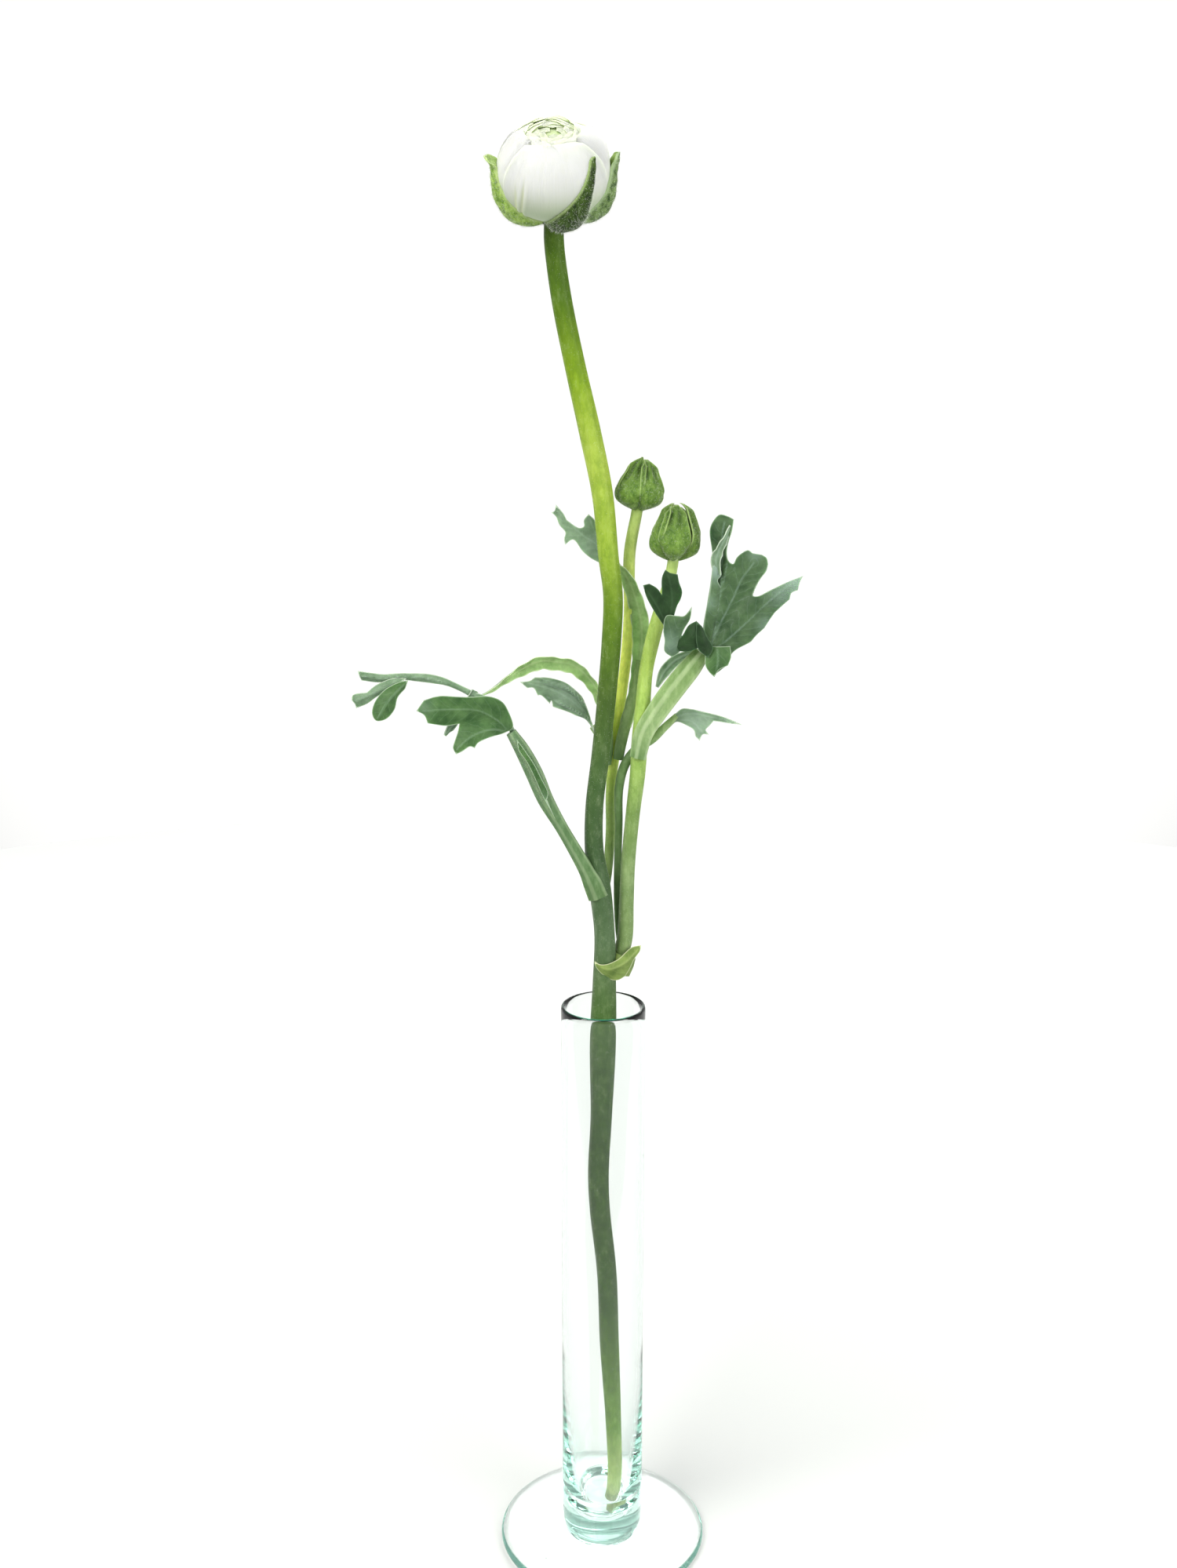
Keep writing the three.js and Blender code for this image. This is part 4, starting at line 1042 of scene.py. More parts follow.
RIGHT_SMALL_BLADE = [
    (20.8, 299.5, 1), (23, 301.8), (26, 304.5), (29, 304.5), (32.5, 303.8), (37, 302.8), (41.5, 301.5),
    (46, 299.5, 1), (41.5, 300), (36.5, 300.6, 1), (35.3, 299.2), (34, 297.6), (35, 296, 1), (33, 296),
    (32, 294, 1), (30.5, 295.5, 1), (30, 297.5), (27.5, 299), (24.5, 300), (22.5, 298.5, 1),
]


RIGHT_SMALL_STALK = [
    (6.5, 12.5, 219.5, 1.2), (5.5, 13.8, 226, 1.2), (5, 14.5, 236.5, 1.3), (5, 14.4, 250.5, 1.3),
    (5.3, 14, 264, 1.3), (5.3, 13, 277, 1.5), (7.2, 13, 285, 1.6), (11, 14.6, 290, 1.6),
    (16.5, 14, 293.8, 1.5), (20.5, 13, 298, 1.3), (24.5, 12, 302, 1.1),
]
RIGHT_SMALL_RIBS = [
    [(21.5, 12.6, 300, 2), (28, 11.3, 303, 2), (36, 10.2, 302, 2), (46, 9, 299.8, 2)],
    [(22.5, 12.4, 300, 2), (29, 11, 300.5, 2), (34, 10, 295.5, 2)],
]


def make_leaf_right_small(materials):
    shape = Shape()
    add_stem(shape, RIGHT_SMALL_STALK, 120, 24, flat=0.8, slot=STALK)
    add_blade(shape, RIGHT_SMALL_BLADE, RIGHT_SMALL_RIBS, cup=0.2, slots=(UNDER, MIDDLING),
              pale=[(31, 300, 5, 0.4), (42, 301, 4, 0.3)])
    shape.build("leaf_right_small_fine", materials, ["leaf_right_small"])


STALK_COLOURS = [
    (240, (108, 140, 88)), (288, (112, 144, 90)), (296, (152, 178, 124)), (310, (150, 178, 118)),
    (325, (118, 150, 88)),
]
STALK_LEFT_COLOURS = [
    (240, (92, 122, 76)), (262, (98, 130, 86)), (290, (104, 134, 98)), (310, (108, 138, 100)),
]
STALK_SPAN = (240, 325)  # heights between which the stalks change colour
LEAF_COLOURS = [
    # name, then deep, light, vein and edge colour
    ("leaf_upper", (46, 74, 43), (84, 112, 74), (154, 180, 166), (170, 190, 166)),
    ("leaf_under", (84, 112, 82), (130, 156, 126), (168, 192, 174), (206, 218, 202)),
    # painted shade: a darker copy of the leaf's green for folded lobes in shadow
    ("leaf_painted_shade", (18, 46, 16), (38, 68, 32), (70, 100, 68), (84, 112, 84)),
    ("leaf_grassy", (112, 146, 82), (170, 202, 134), (196, 216, 162), (216, 230, 196)),
    ("leaf_middling", (46, 82, 38), (84, 119, 68), (146, 174, 146), (186, 204, 180)),
]


def make_leaves():
    stalk = stem_material("stalk", STALK_COLOURS, *STALK_SPAN, 0.2)
    stalk_left = stem_material("stalk_left", STALK_LEFT_COLOURS, *STALK_SPAN, 0.12)
    upper, under, dark, grassy, middling = (leaf_material(*row) for row in LEAF_COLOURS)
    make_leaf_right([upper, under, stalk, dark, middling])
    make_leaf_lower_left([upper, under, stalk_left, dark, middling])
    make_leaf_mid_left([grassy, under, stalk])
    make_leaf_back_left([upper, under, stalk])
    make_leaf_upper_left([upper, under, stalk, grassy, middling])
    make_leaf_right_small([upper, under, stalk, dark, middling])


# ---- Stems and bract -----------------------------------------------------------
# x, y, z and half width along each stem
MAIN = [
    (3.4, -2.2, 13, 2.4), (4.6, -2.6, 25.5, 2.6), (4, -1.8, 47, 2.8), (2.5, 0, 77, 3.4),
    (1.5, 2, 104, 3.5), (-1, 3.5, 127.5, 3.6), (-1.5, 4, 140.5, 3.7), (-0.5, 5, 162.5, 3.8),
    (0, 6, 188, 4.6), (0.5, 7, 210.5, 4), (0.5, 7.5, 227.5, 3.5), (-1, 7.5, 243, 3.7),
    (-3, 8, 256.5, 3.2), (-3, 8, 271.5, 3), (-1, 8.5, 289, 3), (1, 8.5, 308.5, 3.1),
    (2.5, 8, 327, 3.2), (3, 8, 342.5, 3.2), (1.5, 8, 355, 3.3), (-0.5, 7.5, 375, 3.4),
    (-4.5, 7, 394.5, 3.5), (-9, 6.5, 414, 3.3), (-13, 6, 433, 3.2), (-15, 5.6, 446, 3.1),
    (-15.6, 4.6, 452.5, 3.1), (-15.5, 3.3, 457.8, 3.1),
]
SIDE_RIGHT = [
    (4, 10, 211, 2.4), (5.5, 11, 216.5, 2.7), (7.5, 11, 225, 2.7), (8, 11, 237.5, 2.5),
    (8.5, 11, 251.5, 2.4), (10, 11, 269, 2.4), (11.5, 10.5, 283, 2.6), (12, 10.5, 292.5, 2.7),
    (13, 10, 305.5, 2.5), (14, 10, 317.5, 2.3), (16, 9.5, 327.5, 2.4), (18.5, 9.5, 337, 2.3),
    (21, 9, 346, 1.9), (22.3, 8, 353, 1.8), (22.6, 7.6, 356.5, 1.8),
]
SIDE_BACK = [
    (0, 13, 238, 1.5), (1.5, 16, 247, 1.6), (2.5, 18, 260.5, 1.6), (2.5, 18, 274.5, 1.6),
    (4, 18, 291, 2), (5.5, 18, 304, 1.8), (7.5, 17.5, 320.5, 1.8), (8.5, 17, 336, 1.8),
    (8.5, 16, 355.5, 1.9), (10.6, 15.2, 368, 1.8), (11.2, 15, 371.5, 1.8),
]
# height and display colour along each stem
MAIN_COLOURS = [
    (13, (240, 252, 205)), (24, (215, 240, 150)), (45, (122, 166, 60)), (90, (60, 96, 24)),
    (150, (62, 94, 32)), (196, (76, 108, 48)), (208, (86, 112, 66)), (225, (88, 112, 78)),
    (255, (66, 92, 56)), (280, (72, 100, 54)), (310, (74, 100, 38)), (335, (94, 126, 24)),
    (360, (150, 176, 58)), (385, (164, 186, 72)), (410, (128, 158, 26)), (435, (78, 110, 10)),
    (452, (72, 102, 14)),
]
RIGHT_COLOURS = [
    (211, (126, 150, 94)), (245, (130, 154, 102)), (270, (126, 154, 86)), (290, (162, 192, 100)),
    (305, (172, 202, 104)), (320, (164, 190, 92)), (345, (176, 200, 108)), (357, (192, 214, 134)),
]
# painted light: from 270 to 360 mm the back stem is made paler and yellower, making up for the main
# stem's shade and standing in for light shining through it from behind
BACK_COLOURS_WITH_PAINTED_LIGHT = [
    (238, (120, 150, 92)), (270, (160, 190, 106)), (295, (226, 244, 104)),
    (320, (242, 252, 118)), (345, (228, 244, 132)), (360, (208, 228, 132)),
    (372, (180, 206, 116)),
]


def make_stem(name, rows, steps, sides, colours, **ribbing):
    shape = Shape()
    add_stem(shape, rows, steps, sides, **ribbing)
    skin = stem_material(name + "_skin", colours, colours[0][0], colours[-1][0])
    return shape.build(name + "_fine", [skin], [name])


BRACT = [
    (-3, 219, 1), (-1, 218), (4.5, 219), (7.5, 221), (10, 222.5), (13, 223, 1), (12.5, 221),
    (10.5, 218.5), (9, 215.5), (7.5, 213, 1), (5, 212), (2, 212.5), (-0.5, 214.5), (-2.5, 217),
]


def make_bract():
    shape = Shape()
    add_blade(shape, BRACT, [[(-2.8, 3, 218.2, 2), (2, 2.6, 216.5, 2), (7, 4.4, 218, 2),
                              (13, 8.6, 222.5, 2)]], cup=-0.25, ripple=0.35, slots=(0, 0))
    add_stem(shape, [(5.5, 8.4, 212.5, 3.6), (6.2, 9.2, 216, 4.4), (7.2, 9.8, 219, 4.2)], 12, 30)
    skin = leaf_material("bract_skin", (92, 116, 54), (130, 152, 78), (184, 200, 128),
                         (222, 226, 190))
    shape.build("bract_fine", [skin], ["bract"])


def make_stems():
    return [
        make_stem("main_stem", MAIN, 420, 48, MAIN_COLOURS, ribs=9, depth=0.015, fillet=0.5),
        make_stem("side_stem_right", SIDE_RIGHT, 160, 36, RIGHT_COLOURS, ribs=7, depth=0.02),
        make_stem("side_stem_back", SIDE_BACK, 140, 32, BACK_COLOURS_WITH_PAINTED_LIGHT, ribs=6, depth=0.02),
    ]


# ---- Bloom ----------------------------------------------------------------------
def on_ball(polar, turn, radius):
    """Points of the squashed ball, from degrees; turn 0 is the front."""
    polar, turn = np.radians(polar), np.radians(turn)
    return np.stack([radius * np.sin(polar) * np.sin(turn),
                     -radius * np.sin(polar) * np.cos(turn),
                     radius * BALL_SQUASH * np.cos(polar)], axis=-1)


def add_ball_rings(shape, profile, sides, **fields):
    """A closed body round the ball's own axis, from (polar angle, radius)."""
    turns = np.linspace(0, 360, sides, endpoint=False)
    rings = [place_ball(on_ball(np.full(sides, polar), turns, radius)) for polar, radius in profile]
    add_rings(shape, np.stack(rings), **fields)


def place_ball(points):
    """Leans points of the ball toward the front and sets them on the stem."""
    x, y, z = points[..., 0], points[..., 1], points[..., 2]
    cosine, sine = math.cos(BALL_TILT), math.sin(BALL_TILT)
    leaned = np.stack([x, y * cosine - z * sine, y * sine + z * cosine], axis=-1)
    return leaned + BALL_CENTRE


SWELLS = [
    # polar angle and turn, their reach and the rise of fuller or flatter spots of the ball
    (58, 110, 18, 38, 0.9), (30, 180, 9, 15, 0.3), (34, 140, 12, 17, -0.6),
    (34, 224, 12, 17, -0.5),
]


def add_petal(shape, random, turn, spread, low, rim, radius, laps, tint, body,
              creases=(), peak=0.0, drop=26, cols=30, rows=34):
    """One petal from a low polar angle to its wavy rim.

    Laps raise its left and right edges over its neighbours, and body is how thick it
    is below the thin rim.
    """
    u = np.linspace(-1, 1, cols)[None, :]
    t = np.linspace(0, 1, rows)[:, None] ** 0.8
    waves = random.uniform(0, 2 * np.pi, 3)
    scallop = 0.8 * np.sin(3.1 * u + waves[0]) + 0.35 * np.sin(6.3 * u + waves[1])
    top = rim + drop * np.abs(u) ** 3.5 + scallop - peak * np.exp(-(u / 0.45) ** 2)
    polar = low + (top - low) * t
    reach = turn + spread * (1 - 0.2 * t ** 4) * u
    belly = 0.10 * np.sin(2.4 * u + waves[2]) * np.sin(3 * t)
    lip = 0.22 * np.clip((t - 0.85) / 0.15, 0, 1) ** 2 * np.sin(4.2 * u + waves[1])
    lap = np.where(u < 0, laps[0], laps[1]) * np.abs(u)
    out = radius + lap + belly + lip
    for middle, side, reach_polar, reach_turn, rise in SWELLS:
        aside = (reach - side + 180) % 360 - 180
        out = out + rise * np.exp(-((polar - middle) / reach_polar) ** 2
                                  - (aside / reach_turn) ** 2)
    tint = tint + 0 * (u + t)
    for high, deep, start, depth in creases:
        across = out * np.sin(np.radians(polar)) * np.sin(np.radians(reach))
        gone = np.clip((polar - start) / 25, 0, 1)
        middle = high + (deep - high) * np.clip((polar - start) / 55, 0, 1) ** 0.7
        groove = np.exp(-((across - middle) / 0.4) ** 2)
        shoulder = np.exp(-((across - middle - 0.9) / 0.7) ** 2)
        out = out + gone * (0.3 * shoulder - depth * groove)
        # painted shade: the groove of each crease is tinted toward the darker deep green
        tint = np.maximum(tint, 0.9 * gone * groove)
    below = np.clip((polar - top) / 2.5, 0, 1) ** 0.7
    thick = 0.14 + (body - 0.14) * below * (1 - 0.8 * np.abs(u) ** 6)
    outside = place_ball(on_ball(polar, reach, out))
    within = place_ball(on_ball(polar, reach, out - thick))
    width = spread * np.radians(1) * radius
    along = t if low > 100 else 0.75 + 0.25 * t
    add_sheet(shape, outside, within, rib=u * width, vein=along + 0 * u,
              rim=(1 - t) * 14 + 0 * u, tint=tint)


OVER = (0.16, 0.16)
LAPPED = (-0.16, 0.16)
TUCKED = {1: (-0.6, 0.16), 4: (-0.16, -0.6)}  # the two outer petals beside the front one
LAYERS = [
    # turns, rim polar angles, half spread, low polar angle, inset, body, green tint
    ([5, 80, 149, 221, 290], [31, 28, 35, 36, 29], 54, 165, 0.0, 0.5, 0.0),
    ([40, 112, 184, 256, 328], [26, 27, 30, 29, 25], 52, 75, 0.6, 0.45, 0.26),
    ([15, 88, 160, 230, 300], [22.5, 23, 25, 25, 22], 54, 62, 1.15, 0.42, 0.4),
    ([55, 145, 235, 325], [18.5, 20, 20, 18], 60, 54, 1.65, 0.4, 0.5),
    ([10, 100, 190, 280], [14.5, 15.5, 16, 14.5], 60, 48, 2.1, 0.36, 0.58),
    ([60, 180, 300], [10.5, 11.5, 10.5], 68, 42, 2.5, 0.32, 0.64),
    ([0, 120, 240], [6.5, 7, 6.5], 68, 36, 2.9, 0.3, 0.7),
]
FRONT_SPREAD = 66
FRONT_CREASES = [
    # across at the top and at the foot, first polar angle and depth
    (-8.0, -9.4, 66, 0.24), (-10.7, -11.2, 76, 0.2),
]
OUTER_INSET = 0.35  # of the outermost petals from the ball's own radius
CORE = [
    (172, 16.0), (155, 16.2), (135, 16.25), (110, 16.25), (85, 16.25), (76, 16.2), (70, 15.8),
    (62, 15.3), (54, 14.8), (48, 14.4), (42, 14.0), (36, 13.7), (26, 13.6), (14, 13.5), (4, 13.4),
]


def make_bloom():
    shape = Shape()
    random = np.random.default_rng(7)
    for number, (turns, rims, spread, low, inset, body, tint) in enumerate(LAYERS):
        for k, (turn, rim) in enumerate(zip(turns, rims)):
            radius = BALL_RADIUS - OUTER_INSET - inset
            behind = math.cos(math.radians(turn)) < 0
            if number == 0 and k == 0:
                add_petal(shape, random, turn, FRONT_SPREAD, low, rim, radius, OVER, tint,
                          body, FRONT_CREASES, drop=7, cols=140, rows=70)
                continue
            laps = TUCKED.get(k, LAPPED) if number == 0 else LAPPED
            add_petal(shape, random, turn, spread, low, rim, radius, laps, tint, body,
                      peak=2.0 if behind else 0.0, drop=26 if number == 0 else 13)
    add_ball_rings(shape, CORE, 48, tint=0.5, rim=9.0)
    shape.build("bloom_petals_fine", [petal_material()], ["bloom_petals"])


SEPALS = [
    # polar angle, turn, height over the petals and half width, from each foot to its tip
    [(168, -50, 1.4, 2.4), (153, -60, 3.4, 4.6), (138, -66, 4.4, 6), (122, -73, 3.7, 6.2),
     (106, -80, 2.5, 5), (92, -85, 1.7, 3.6), (83, -87, 2.0, 2.8), (79, -88, 2.9, 2.4),
     (75.5, -88, 4.2, 2.2)],
    [(168, 10, 1.2, 2.2), (150, 14, 2.8, 4.8), (134, 19, 3.7, 5.6), (120, 23, 3.1, 5.4),
     (104, 28, 2.2, 4), (88, 35, 1.6, 2.6), (72, 43, 1.4, 1.7), (61, 50, 1.4, 1.35),
     (55, 54, 1.5, 1.2)],
    [(168, 60, 1.4, 2.2), (148, 72, 4.0, 4.8), (132, 78, 4.9, 5.6), (118, 84, 3.9, 4.6),
     (104, 90, 2.6, 3.2), (92, 93, 2.2, 2.4), (83, 95, 2.9, 1.8), (75, 95, 3.5, 1.5)],
    [(168, 150, 1.0, 2.2), (150, 150, 2.5, 4.8), (134, 150, 3.4, 5.8), (118, 150, 2.8, 5.6),
     (100, 150, 1.8, 4), (84, 150, 1.7, 2.6), (72, 150, 2.0, 1.5)],
    [(168, 225, 1.0, 2.2), (150, 225, 2.5, 4.8), (134, 225, 3.4, 5.8), (118, 225, 2.8, 5.6),
     (100, 225, 1.8, 4), (86, 225, 1.7, 2.6), (76, 225, 2.2, 1.5)],
]
PETAL_FACE = 17.1  # radius of the petals that the sepals lie on
RECEPTACLE = [
    (179, 17.7), (166, 17.7), (158, 17.7), (157, 18.2), (159, 18.7), (166, 19), (179, 19.1),
]
SEPAL_ROWS = 81
SEPAL_COLUMNS = 27


def add_sepal(shape, rows, slots):
    """One sepal: a plump strap whose edges lie on the petals, free near its blunt tip."""
    samples = spline(np.array(rows, float), np.linspace(0, 1, SEPAL_ROWS))
    u = np.linspace(-1, 1, SEPAL_COLUMNS)[None, :]
    polar, turn, height, half = (samples[:, k, None] for k in range(4))
    run = np.linspace(0, 1, SEPAL_ROWS)[:, None]
    point = np.clip((1 - run) / 0.06, 0, 1) ** 0.5
    half = half * (0.25 + 0.75 * point)
    ring = np.maximum(PETAL_FACE * np.sin(np.radians(polar)), 3)
    turned = turn + np.minimum(np.degrees(half / ring), 70) * u
    free = np.clip((height - 1.7) / 2.0, 0, 1) * np.clip((run - 0.6) / 0.3, 0, 1)
    arch = (1 - np.abs(u) ** 2.4) * (1 - free) + (1 - 0.2 * u ** 2) * free
    pucker = 0.09 * np.sin(run * 46 + 3 * u) * (1 - u ** 2)
    outer = PETAL_FACE + 0.12 + (height - 0.1) * arch + pucker
    plump = np.clip(half / 3.5, 0.45, 1) * (0.4 + 0.6 * point)
    thin = 0.3 + 1.0 * plump * (1 - u ** 2) ** 0.7
    inner = outer - np.maximum(thin, (outer - PETAL_FACE + 0.35) * (1 - free))
    front = place_ball(on_ball(polar + 0 * u, turned, outer))
    back = place_ball(on_ball(polar + 0 * u, turned, inner))
    rim = np.minimum(half * (1 - np.abs(u)), (1 - run) * 20)
    add_sheet(shape, front, back, slots, rib=np.abs(u) * half, rim=rim, vein=run + 0 * u)


def make_calyx():
    shape = Shape()
    for number, rows in enumerate(SEPALS):
        # the left sepal takes a painted highlight and the right sepal painted back light
        add_sepal(shape, rows, ({0: 2, 2: 3}.get(number, 0), 1))
    add_ball_rings(shape, RECEPTACLE, 40, rib=3.0, rim=3.0)
    outside = sepal_material("calyx_outside", (18, 38, 6), (64, 90, 28), (170, 194, 128),
                             (30, 52, 14))
    # painted highlight: a lighter copy of the calyx green
    bright = sepal_material("calyx_painted_highlight", (84, 120, 36), (166, 196, 100), (196, 214, 152),
                            (60, 86, 30))
    # painted back light: a paler copy of the calyx green
    side = sepal_material("calyx_painted_backlight", (42, 72, 22), (140, 166, 106), (186, 208, 164),
                          (44, 66, 24))
    within = sepal_material("calyx_inside", (126, 156, 78), (168, 192, 116), (200, 216, 160),
                            (90, 120, 50))
    return shape.build("bloom_calyx_fine", [outside, within, bright, side], ["bloom_calyx"])


# ---- Buds -----------------------------------------------------------------------
BUD_PROFILE = [
    # shares of the height and of the radius
    (0, 0.2), (0.03, 0.4), (0.07, 0.6), (0.15, 0.84), (0.3, 1), (0.48, 0.91), (0.68, 0.71),
    (0.82, 0.58), (0.92, 0.45), (0.98, 0.3), (1, 0.16),
]


def bud_radius(height):
    """Radius of a bud at a share of its height."""
    rows = np.array([(h, w, 0) for h, w in BUD_PROFILE], float)
    line = spline(rows, np.linspace(0, 1, 120))
    return BUD_RADIUS * np.interp(height, line[:, 0], line[:, 1])


def add_bud_sepal(shape, place, middle, spread, lift, top, lean, gape=0.0):
    """One closed sepal of a bud, bulging in a lobe at its foot and hollow higher up."""
    rows, cols = 64, 33
    t = np.linspace(0, 1, rows)[:, None]
    u = np.linspace(-1, 1, cols)[None, :]
    height = t * top
    radius = bud_radius(np.minimum(height, 1) + 0 * u)
    narrow = np.clip((1.04 - t) / 0.2, 0, 1) ** 0.6
    angle = math.radians(middle) + math.radians(spread) * u * (0.1 + 0.9 * narrow)
    angle = angle + lean * t ** 2
    foot = np.exp(-((t - 0.14) / 0.14) ** 2)
    swell = 1.1 * foot * (1 - u ** 2) - 1.3 * foot * np.abs(u) ** 4
    hollow = -1.1 * np.exp(-((np.abs(u) - 0.45) / 0.25) ** 2) * np.clip((t - 0.45) / 0.25, 0, 1)
    hollow = hollow * np.clip((1.05 - t) / 0.2, 0, 1)
    groove = foot * np.abs(u) ** 6 + 0.35 * np.clip((t - 0.35) / 0.5, 0, 1)
    # painted shade for the hollows near the top and the grooves between sepals, carried as tint
    shade = np.clip(-0.5 * hollow + 0.7 * groove, 0, 0.8) * np.clip((1 - np.abs(u)) / 0.06, 0, 1)
    edge = 0.45 * np.exp(-((np.abs(u) - 0.93) / 0.1) ** 2) * np.clip((t - 0.2) / 0.2, 0, 1)
    tuck = -0.7 * np.abs(u) ** 3 * np.clip(1 - t / 0.5, 0, 1)
    grain = 0.05 * np.sin(31 * t + 5 * u + middle) * np.sin(11 * u + 3)
    open_by = gape * np.sin(np.pi * np.clip((t - 0.3) / 0.85, 0, 1)) ** 0.8
    out = radius + lift + swell + hollow + edge + tuck + grain + open_by
    out = np.maximum(out * (1 - 0.35 * np.clip((t - 0.86) / 0.14, 0, 1) ** 1.5), 0.4)
    drop = -0.9 * (1 - u ** 2) * np.clip(1 - t / 0.22, 0, 1)
    z = BUD_HEIGHT * height + drop
    thick = 0.25 + 0.55 * (1 - u ** 2) * np.clip((1 - t) / 0.2, 0.3, 1)
    outer = np.stack([out * np.cos(angle), out * np.sin(angle), z + 0 * u], axis=-1)
    inner_radius = np.maximum(out - thick, 0.2)
    inner = np.stack([inner_radius * np.cos(angle), inner_radius * np.sin(angle), z + 0 * u],
                     axis=-1)
    half = np.maximum(out, 1) * math.radians(spread)
    rim = np.minimum(half * (1 - np.abs(u)), (1 - t) * 14)
    add_sheet(shape, place(outer), place(inner), slots=(0, 1),
              rib=np.abs(u) * half, rim=rim, vein=t + 0 * u, tint=shade)


UPPER_SEPALS = [
    # middle angle, half spread, lift, top, lean and gape of each sepal; -90 is the front
    (18, 44, -0.1, 0.95, -0.1, 0), (90, 44, 0.1, 0.97, 0.05, 0), (-200, 44, 0.1, 0.96, 0.1, 0),
    (-128, 44, 0.0, 1.02, 0.25, 0), (-54, 38, 0.4, 0.98, -0.1, 0),
]
LOWER_SEPALS = [
    (55, 42, -0.2, 0.92, 0.1, 0), (125, 42, 0.0, 0.96, 0.0, 0), (-162, 43, 0.1, 0.99, 0.15, 0),
    (-92, 40, 0.45, 0.97, -0.05, 0), (-18, 30, 0.3, 1.0, -0.1, 0.9),
]


def make_bud(name, base, lean, tall, sepals, materials):
    """A closed bud of five overlapping sepals on a green core."""
    lean = math.radians(lean)
    base = np.array(base)

    def place(points):
        x, y, z = points[..., 0], points[..., 1], points[..., 2] * tall
        turned = np.stack([x * math.cos(lean) + z * math.sin(lean), y,
                           z * math.cos(lean) - x * math.sin(lean)], axis=-1)
        return turned + base

    shape = Shape()
    heights = np.linspace(0.0, 0.93, 30)
    wide = np.maximum(bud_radius(heights) - 1.8 - 2.6 * heights, 0.3)[:, None]
    core = round_rings(wide, BUD_HEIGHT * heights[:, None], 36)
    add_rings(shape, place(core), 1, rib=3.0, rim=3.0)
    for middle, spread, lift, top, turn, gape in sepals:
        add_bud_sepal(shape, place, middle, spread, lift, top, turn, gape)
    return shape.build(name + "_fine", materials, [name])


def make_buds():
    # the last colour of each is the painted shade of the bud's hollows and grooves
    outside = sepal_material("bud_outside", (68, 102, 32), (118, 150, 66), (172, 198, 126),
                             (56, 84, 30))
    within = sepal_material("bud_inside", (120, 150, 84), (160, 186, 120), (196, 212, 160),
                            (70, 96, 40))
    return [
        make_bud("bud_upper", (11.1, 15, 370.3), 6, 0.945, UPPER_SEPALS, [outside, within]),
        make_bud("bud_lower", (22.4, 7.8, 354.8), 3, 1.04, LOWER_SEPALS, [outside, within]),
    ]


# ---- Vase and water ---------------------------------------------------------------
def turned_body(shape, profile, sides):
    """A body turned round the vertical axis from a profile of (radius, height)."""
    profile = np.array(profile, float)
    add_rings(shape, round_rings(profile[:, :1], profile[:, 1:], sides))


def rounded(profile, step):
    """A profile with its corners eased by a smooth line through its points."""
    rows = np.array([(r, z, 0) for r, z in profile], float)
    length = np.linalg.norm(np.diff(rows, axis=0), axis=1).sum()
    return spline(rows, np.linspace(0, 1, int(length / step) + 1))[:, :2]


def stepped(profile, step):
    """A profile with its long straight stretches cut into steps."""
    profile = np.array(profile, float)
    line = [profile[0]]
    for a, b in zip(profile, profile[1:]):
        count = int(np.linalg.norm(b - a) / step) + 1
        line += [a + (b - a) * k / count for k in range(1, count + 1)]
    return np.array(line)


BORE = [
    (0.3, FLOOR_HEIGHT), (2.5, FLOOR_HEIGHT + 0.15), (5, FLOOR_HEIGHT + 0.8),
    (6.8, FLOOR_HEIGHT + 2), (8, FLOOR_HEIGHT + 4), (9.3, FLOOR_HEIGHT + 10),
    (11, FLOOR_HEIGHT + 25), (12.1, FLOOR_HEIGHT + 42), (BORE_RADIUS, 75),
]
RIM = [
    (BORE_RADIUS, VASE_HEIGHT - 2.6), (BORE_RADIUS + 0.2, VASE_HEIGHT - 1.5),
    (BORE_RADIUS + 0.5, VASE_HEIGHT - 0.6),
    (BORE_RADIUS + 1.05, VASE_HEIGHT), (TUBE_RADIUS - 0.2, VASE_HEIGHT - 0.4),
    (TUBE_RADIUS, VASE_HEIGHT - 1.2),
]
FOOTING = [
    (TUBE_RADIUS, 16), (TUBE_RADIUS - 0.1, 10), (TUBE_RADIUS - 0.4, 6.4),
    (TUBE_RADIUS - 1.2, 4.6), (TUBE_RADIUS - 1.5, 3.9), (TUBE_RADIUS - 0.6, FOOT_THICKNESS + 0.4),
    (TUBE_RADIUS + 1.6, FOOT_THICKNESS),
]
FOOT_EDGE = [
    (FOOT_RADIUS - 1.5, FOOT_THICKNESS - 0.3), (FOOT_RADIUS - 0.4, FOOT_THICKNESS - 0.8),
    (FOOT_RADIUS, FOOT_THICKNESS / 2), (FOOT_RADIUS - 0.3, 0.5), (FOOT_RADIUS - 1.2, 0),
    (20, 0), (0.3, 0),
]
SEEDS = [
    # tiny bubbles in the glass: x, y, z, radius
    (14, -5, 70, 0.35), (13.4, -1.5, 150, 0.4), (13.5, -0.5, 146, 0.25), (-13.5, -2, 120, 0.2),
    (-20, -18, 1.6, 0.4), (27, -12, 1.5, 0.35), (12, -24, 1.6, 0.5), (-24, 10, 1.5, 0.3),
    (5, 27, 1.5, 0.35), (-9, -11, 6, 0.3), (8, -11, 7, 0.35), (-4, -12.5, 6.5, 0.25),
]
SEED_POLARS = [15, 45, 75, 105, 135, 165]


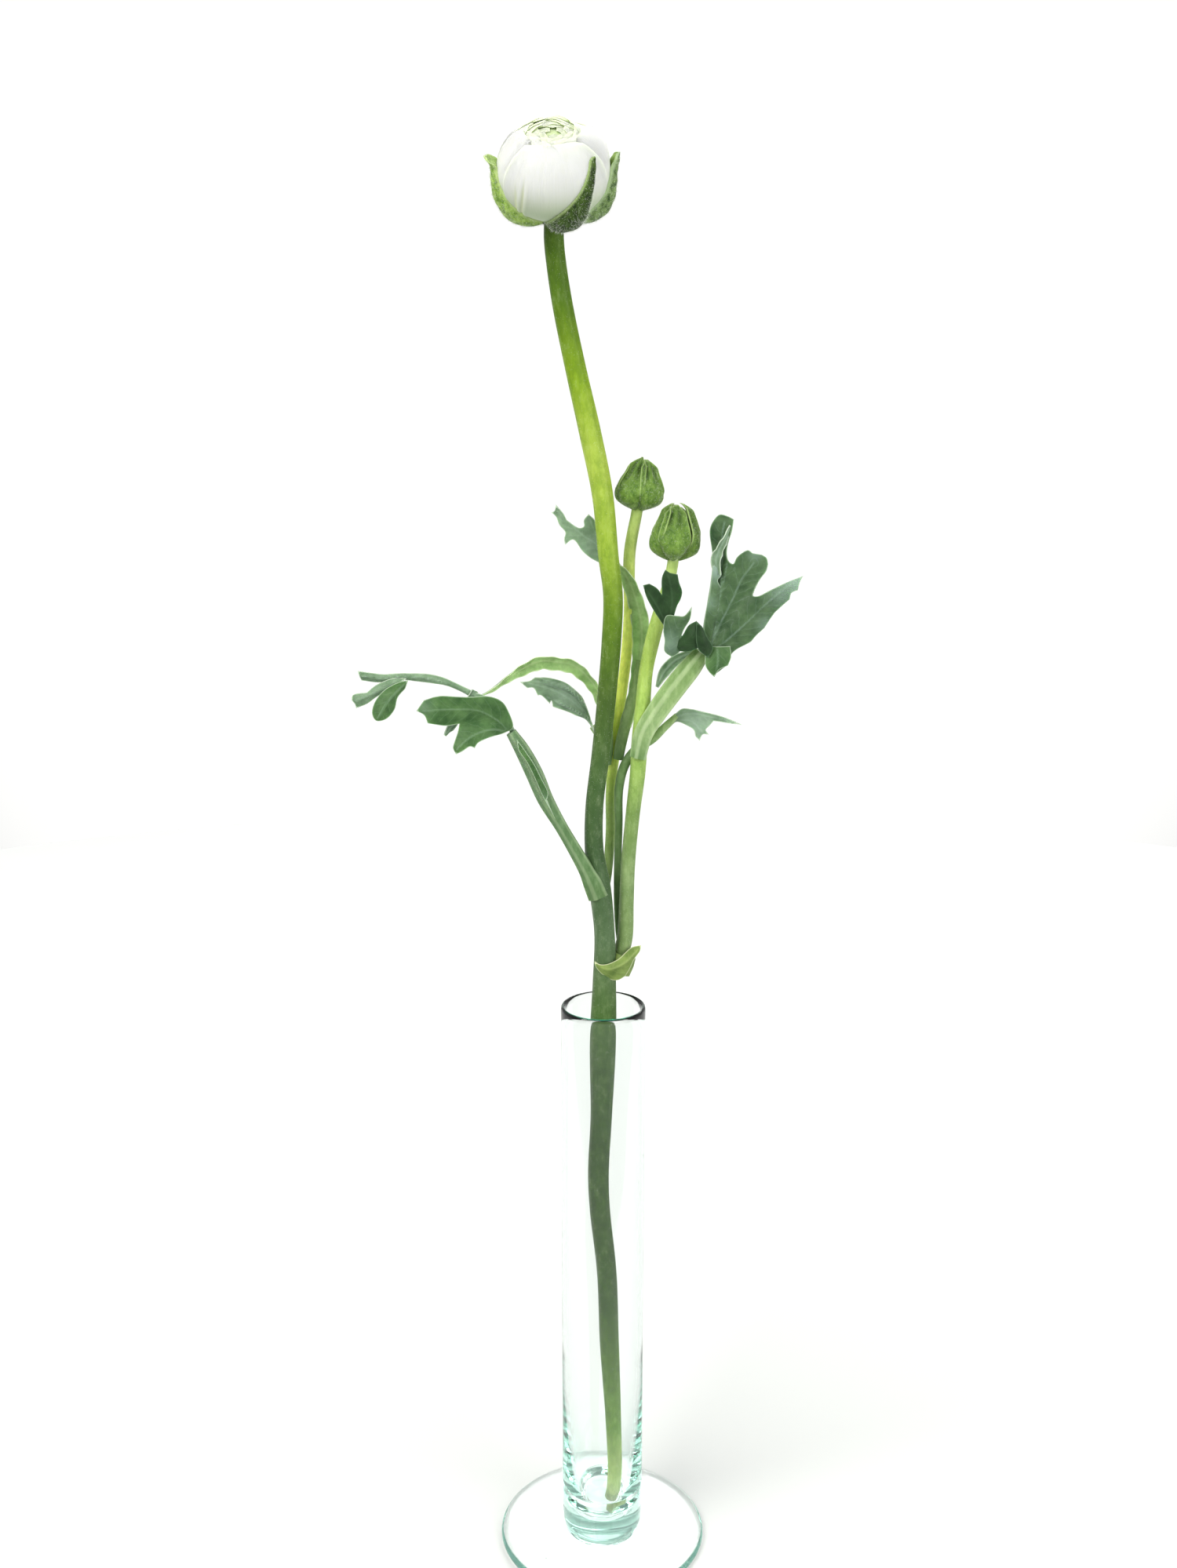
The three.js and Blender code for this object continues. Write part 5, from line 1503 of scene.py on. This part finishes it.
def make_vase():
    shape = Shape()
    walls = list(rounded(BORE, 0.8)) + list(rounded(RIM, 0.25))
    base = list(rounded(FOOTING, 0.4)) + list(rounded(FOOT_EDGE[:5], 0.25)) + FOOT_EDGE[5:]
    turned_body(shape, stepped([tuple(p) for p in walls + base], 3), 144)
    polar = np.radians(SEED_POLARS)[:, None]
    for x, y, z, radius in SEEDS:
        bubble = Shape()
        add_rings(bubble, round_rings(radius * np.sin(polar), z + radius * np.cos(polar), 12, (x, y)))
        shape.add(bubble.points[0], bubble.faces, hollow=True)
    glass = glass_material("clear_glass", (0.60, 0.84, 0.78), 40, 1.5)
    shape.build("vase_fine", [glass], ["vase"], sharp=80)


def make_water():
    shape = Shape()
    profile = [(0.3, FLOOR_HEIGHT - 0.05), (2.5, FLOOR_HEIGHT + 0.1), (5.05, FLOOR_HEIGHT + 0.75),
               (6.85, FLOOR_HEIGHT + 1.95), (8.05, FLOOR_HEIGHT + 3.95), (9.25, WATER_LEVEL - 0.3),
               (9.45, WATER_LEVEL + 0.5), (9.1, WATER_LEVEL + 0.15), (8.4, WATER_LEVEL),
               (0.3, WATER_LEVEL)]
    turned_body(shape, profile, 96)
    water = glass_material("clear_water", (0.85, 0.96, 0.93), 6, 1.333)
    shape.build("water_fine", [water], ["water"], sharp=80)


# ---- Hairs -----------------------------------------------------------------------
def make_hairs(name, piece, count, length, width, seed, silky, keep=None, lean=0.5):
    """Fine hairs rooted in a piece's skin, each a slim closed spike, leaning up."""
    random = np.random.default_rng(seed)
    mesh = piece.data
    mesh.calc_loop_triangles()
    corners = np.zeros(len(mesh.loop_triangles) * 3, np.int64)
    mesh.loop_triangles.foreach_get("vertices", corners)
    points = np.zeros(len(mesh.vertices) * 3)
    mesh.vertices.foreach_get("co", points)
    points = points.reshape(-1, 3) / MM
    a, b, c = (points[corners.reshape(-1, 3)[:, k]] for k in range(3))
    normal = np.cross(b - a, c - a)
    area = np.linalg.norm(normal, axis=1)
    normal = unit(normal)
    if keep is not None:
        area = area * keep((a + b + c) / 3, normal)
    chosen = random.choice(len(area), count, p=area / area.sum())
    r1, r2 = random.random((2, count, 1))
    folded = r1 + r2 > 1
    r1, r2 = np.where(folded, 1 - r1, r1), np.where(folded, 1 - r2, r2)
    root = a[chosen] + r1 * (b - a)[chosen] + r2 * (c - a)[chosen]
    out = normal[chosen]
    drift = random.normal(0, 0.35, (count, 3)) + np.array([0, 0, lean])
    way = unit(out + drift * 0.8)
    size = length * random.uniform(0.5, 1.25, (count, 1))
    side = unit(np.cross(way, random.normal(0, 1, (count, 3))))
    other = np.cross(way, side)
    base = [root - out * 0.05 + width / 2 * (math.cos(t) * side + math.sin(t) * other)
            for t in (0, 2 * math.pi / 3, 4 * math.pi / 3)]
    tip = root + way * size
    corners = np.stack([*base, tip], axis=1).reshape(-1, 3)
    faces = []
    for k in range(count):
        i = 4 * k
        faces += [(i, i + 1, i + 3), (i + 1, i + 2, i + 3), (i + 2, i, i + 3), (i, i + 2, i + 1)]
    shape = Shape()
    shape.add(corners, faces)
    made = shape.build(name, [silky], sharp=180)
    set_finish(made, piece["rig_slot"])


def outward_of(centre):
    """Keeps only faces that look away from a centre."""
    def keep(middles, normals):
        return ((middles - centre) * normals).sum(axis=1) > 0
    return keep


STEM_HAIRS = (7000, 2500, 2500)  # on the main, right and back stem


def make_all_hairs(stems, calyx, buds):
    silky = hair_material()
    make_hairs("calyx_hairs", calyx, 6500, 0.9, 0.06, 11, silky, outward_of(BALL_CENTRE), 0.2)
    for k, bud in enumerate(buds):
        centre = np.array(bud.bound_box).mean(axis=0) / MM
        make_hairs(bud.name + "_hairs", bud, 3500, 0.6, 0.04, 21 + k, silky, outward_of(centre))
    for k, (stem, count) in enumerate(zip(stems, STEM_HAIRS)):
        make_hairs(stem.name + "_hairs", stem, count, 0.5, 0.035, 31 + k, silky)


# ---- The whole object ---------------------------------------------------------
make_camera()
make_studio()
make_vase()
make_water()
stems = make_stems()
make_bract()
make_leaves()
make_bloom()
calyx = make_calyx()
buds = make_buds()
make_all_hairs(stems, calyx, buds)
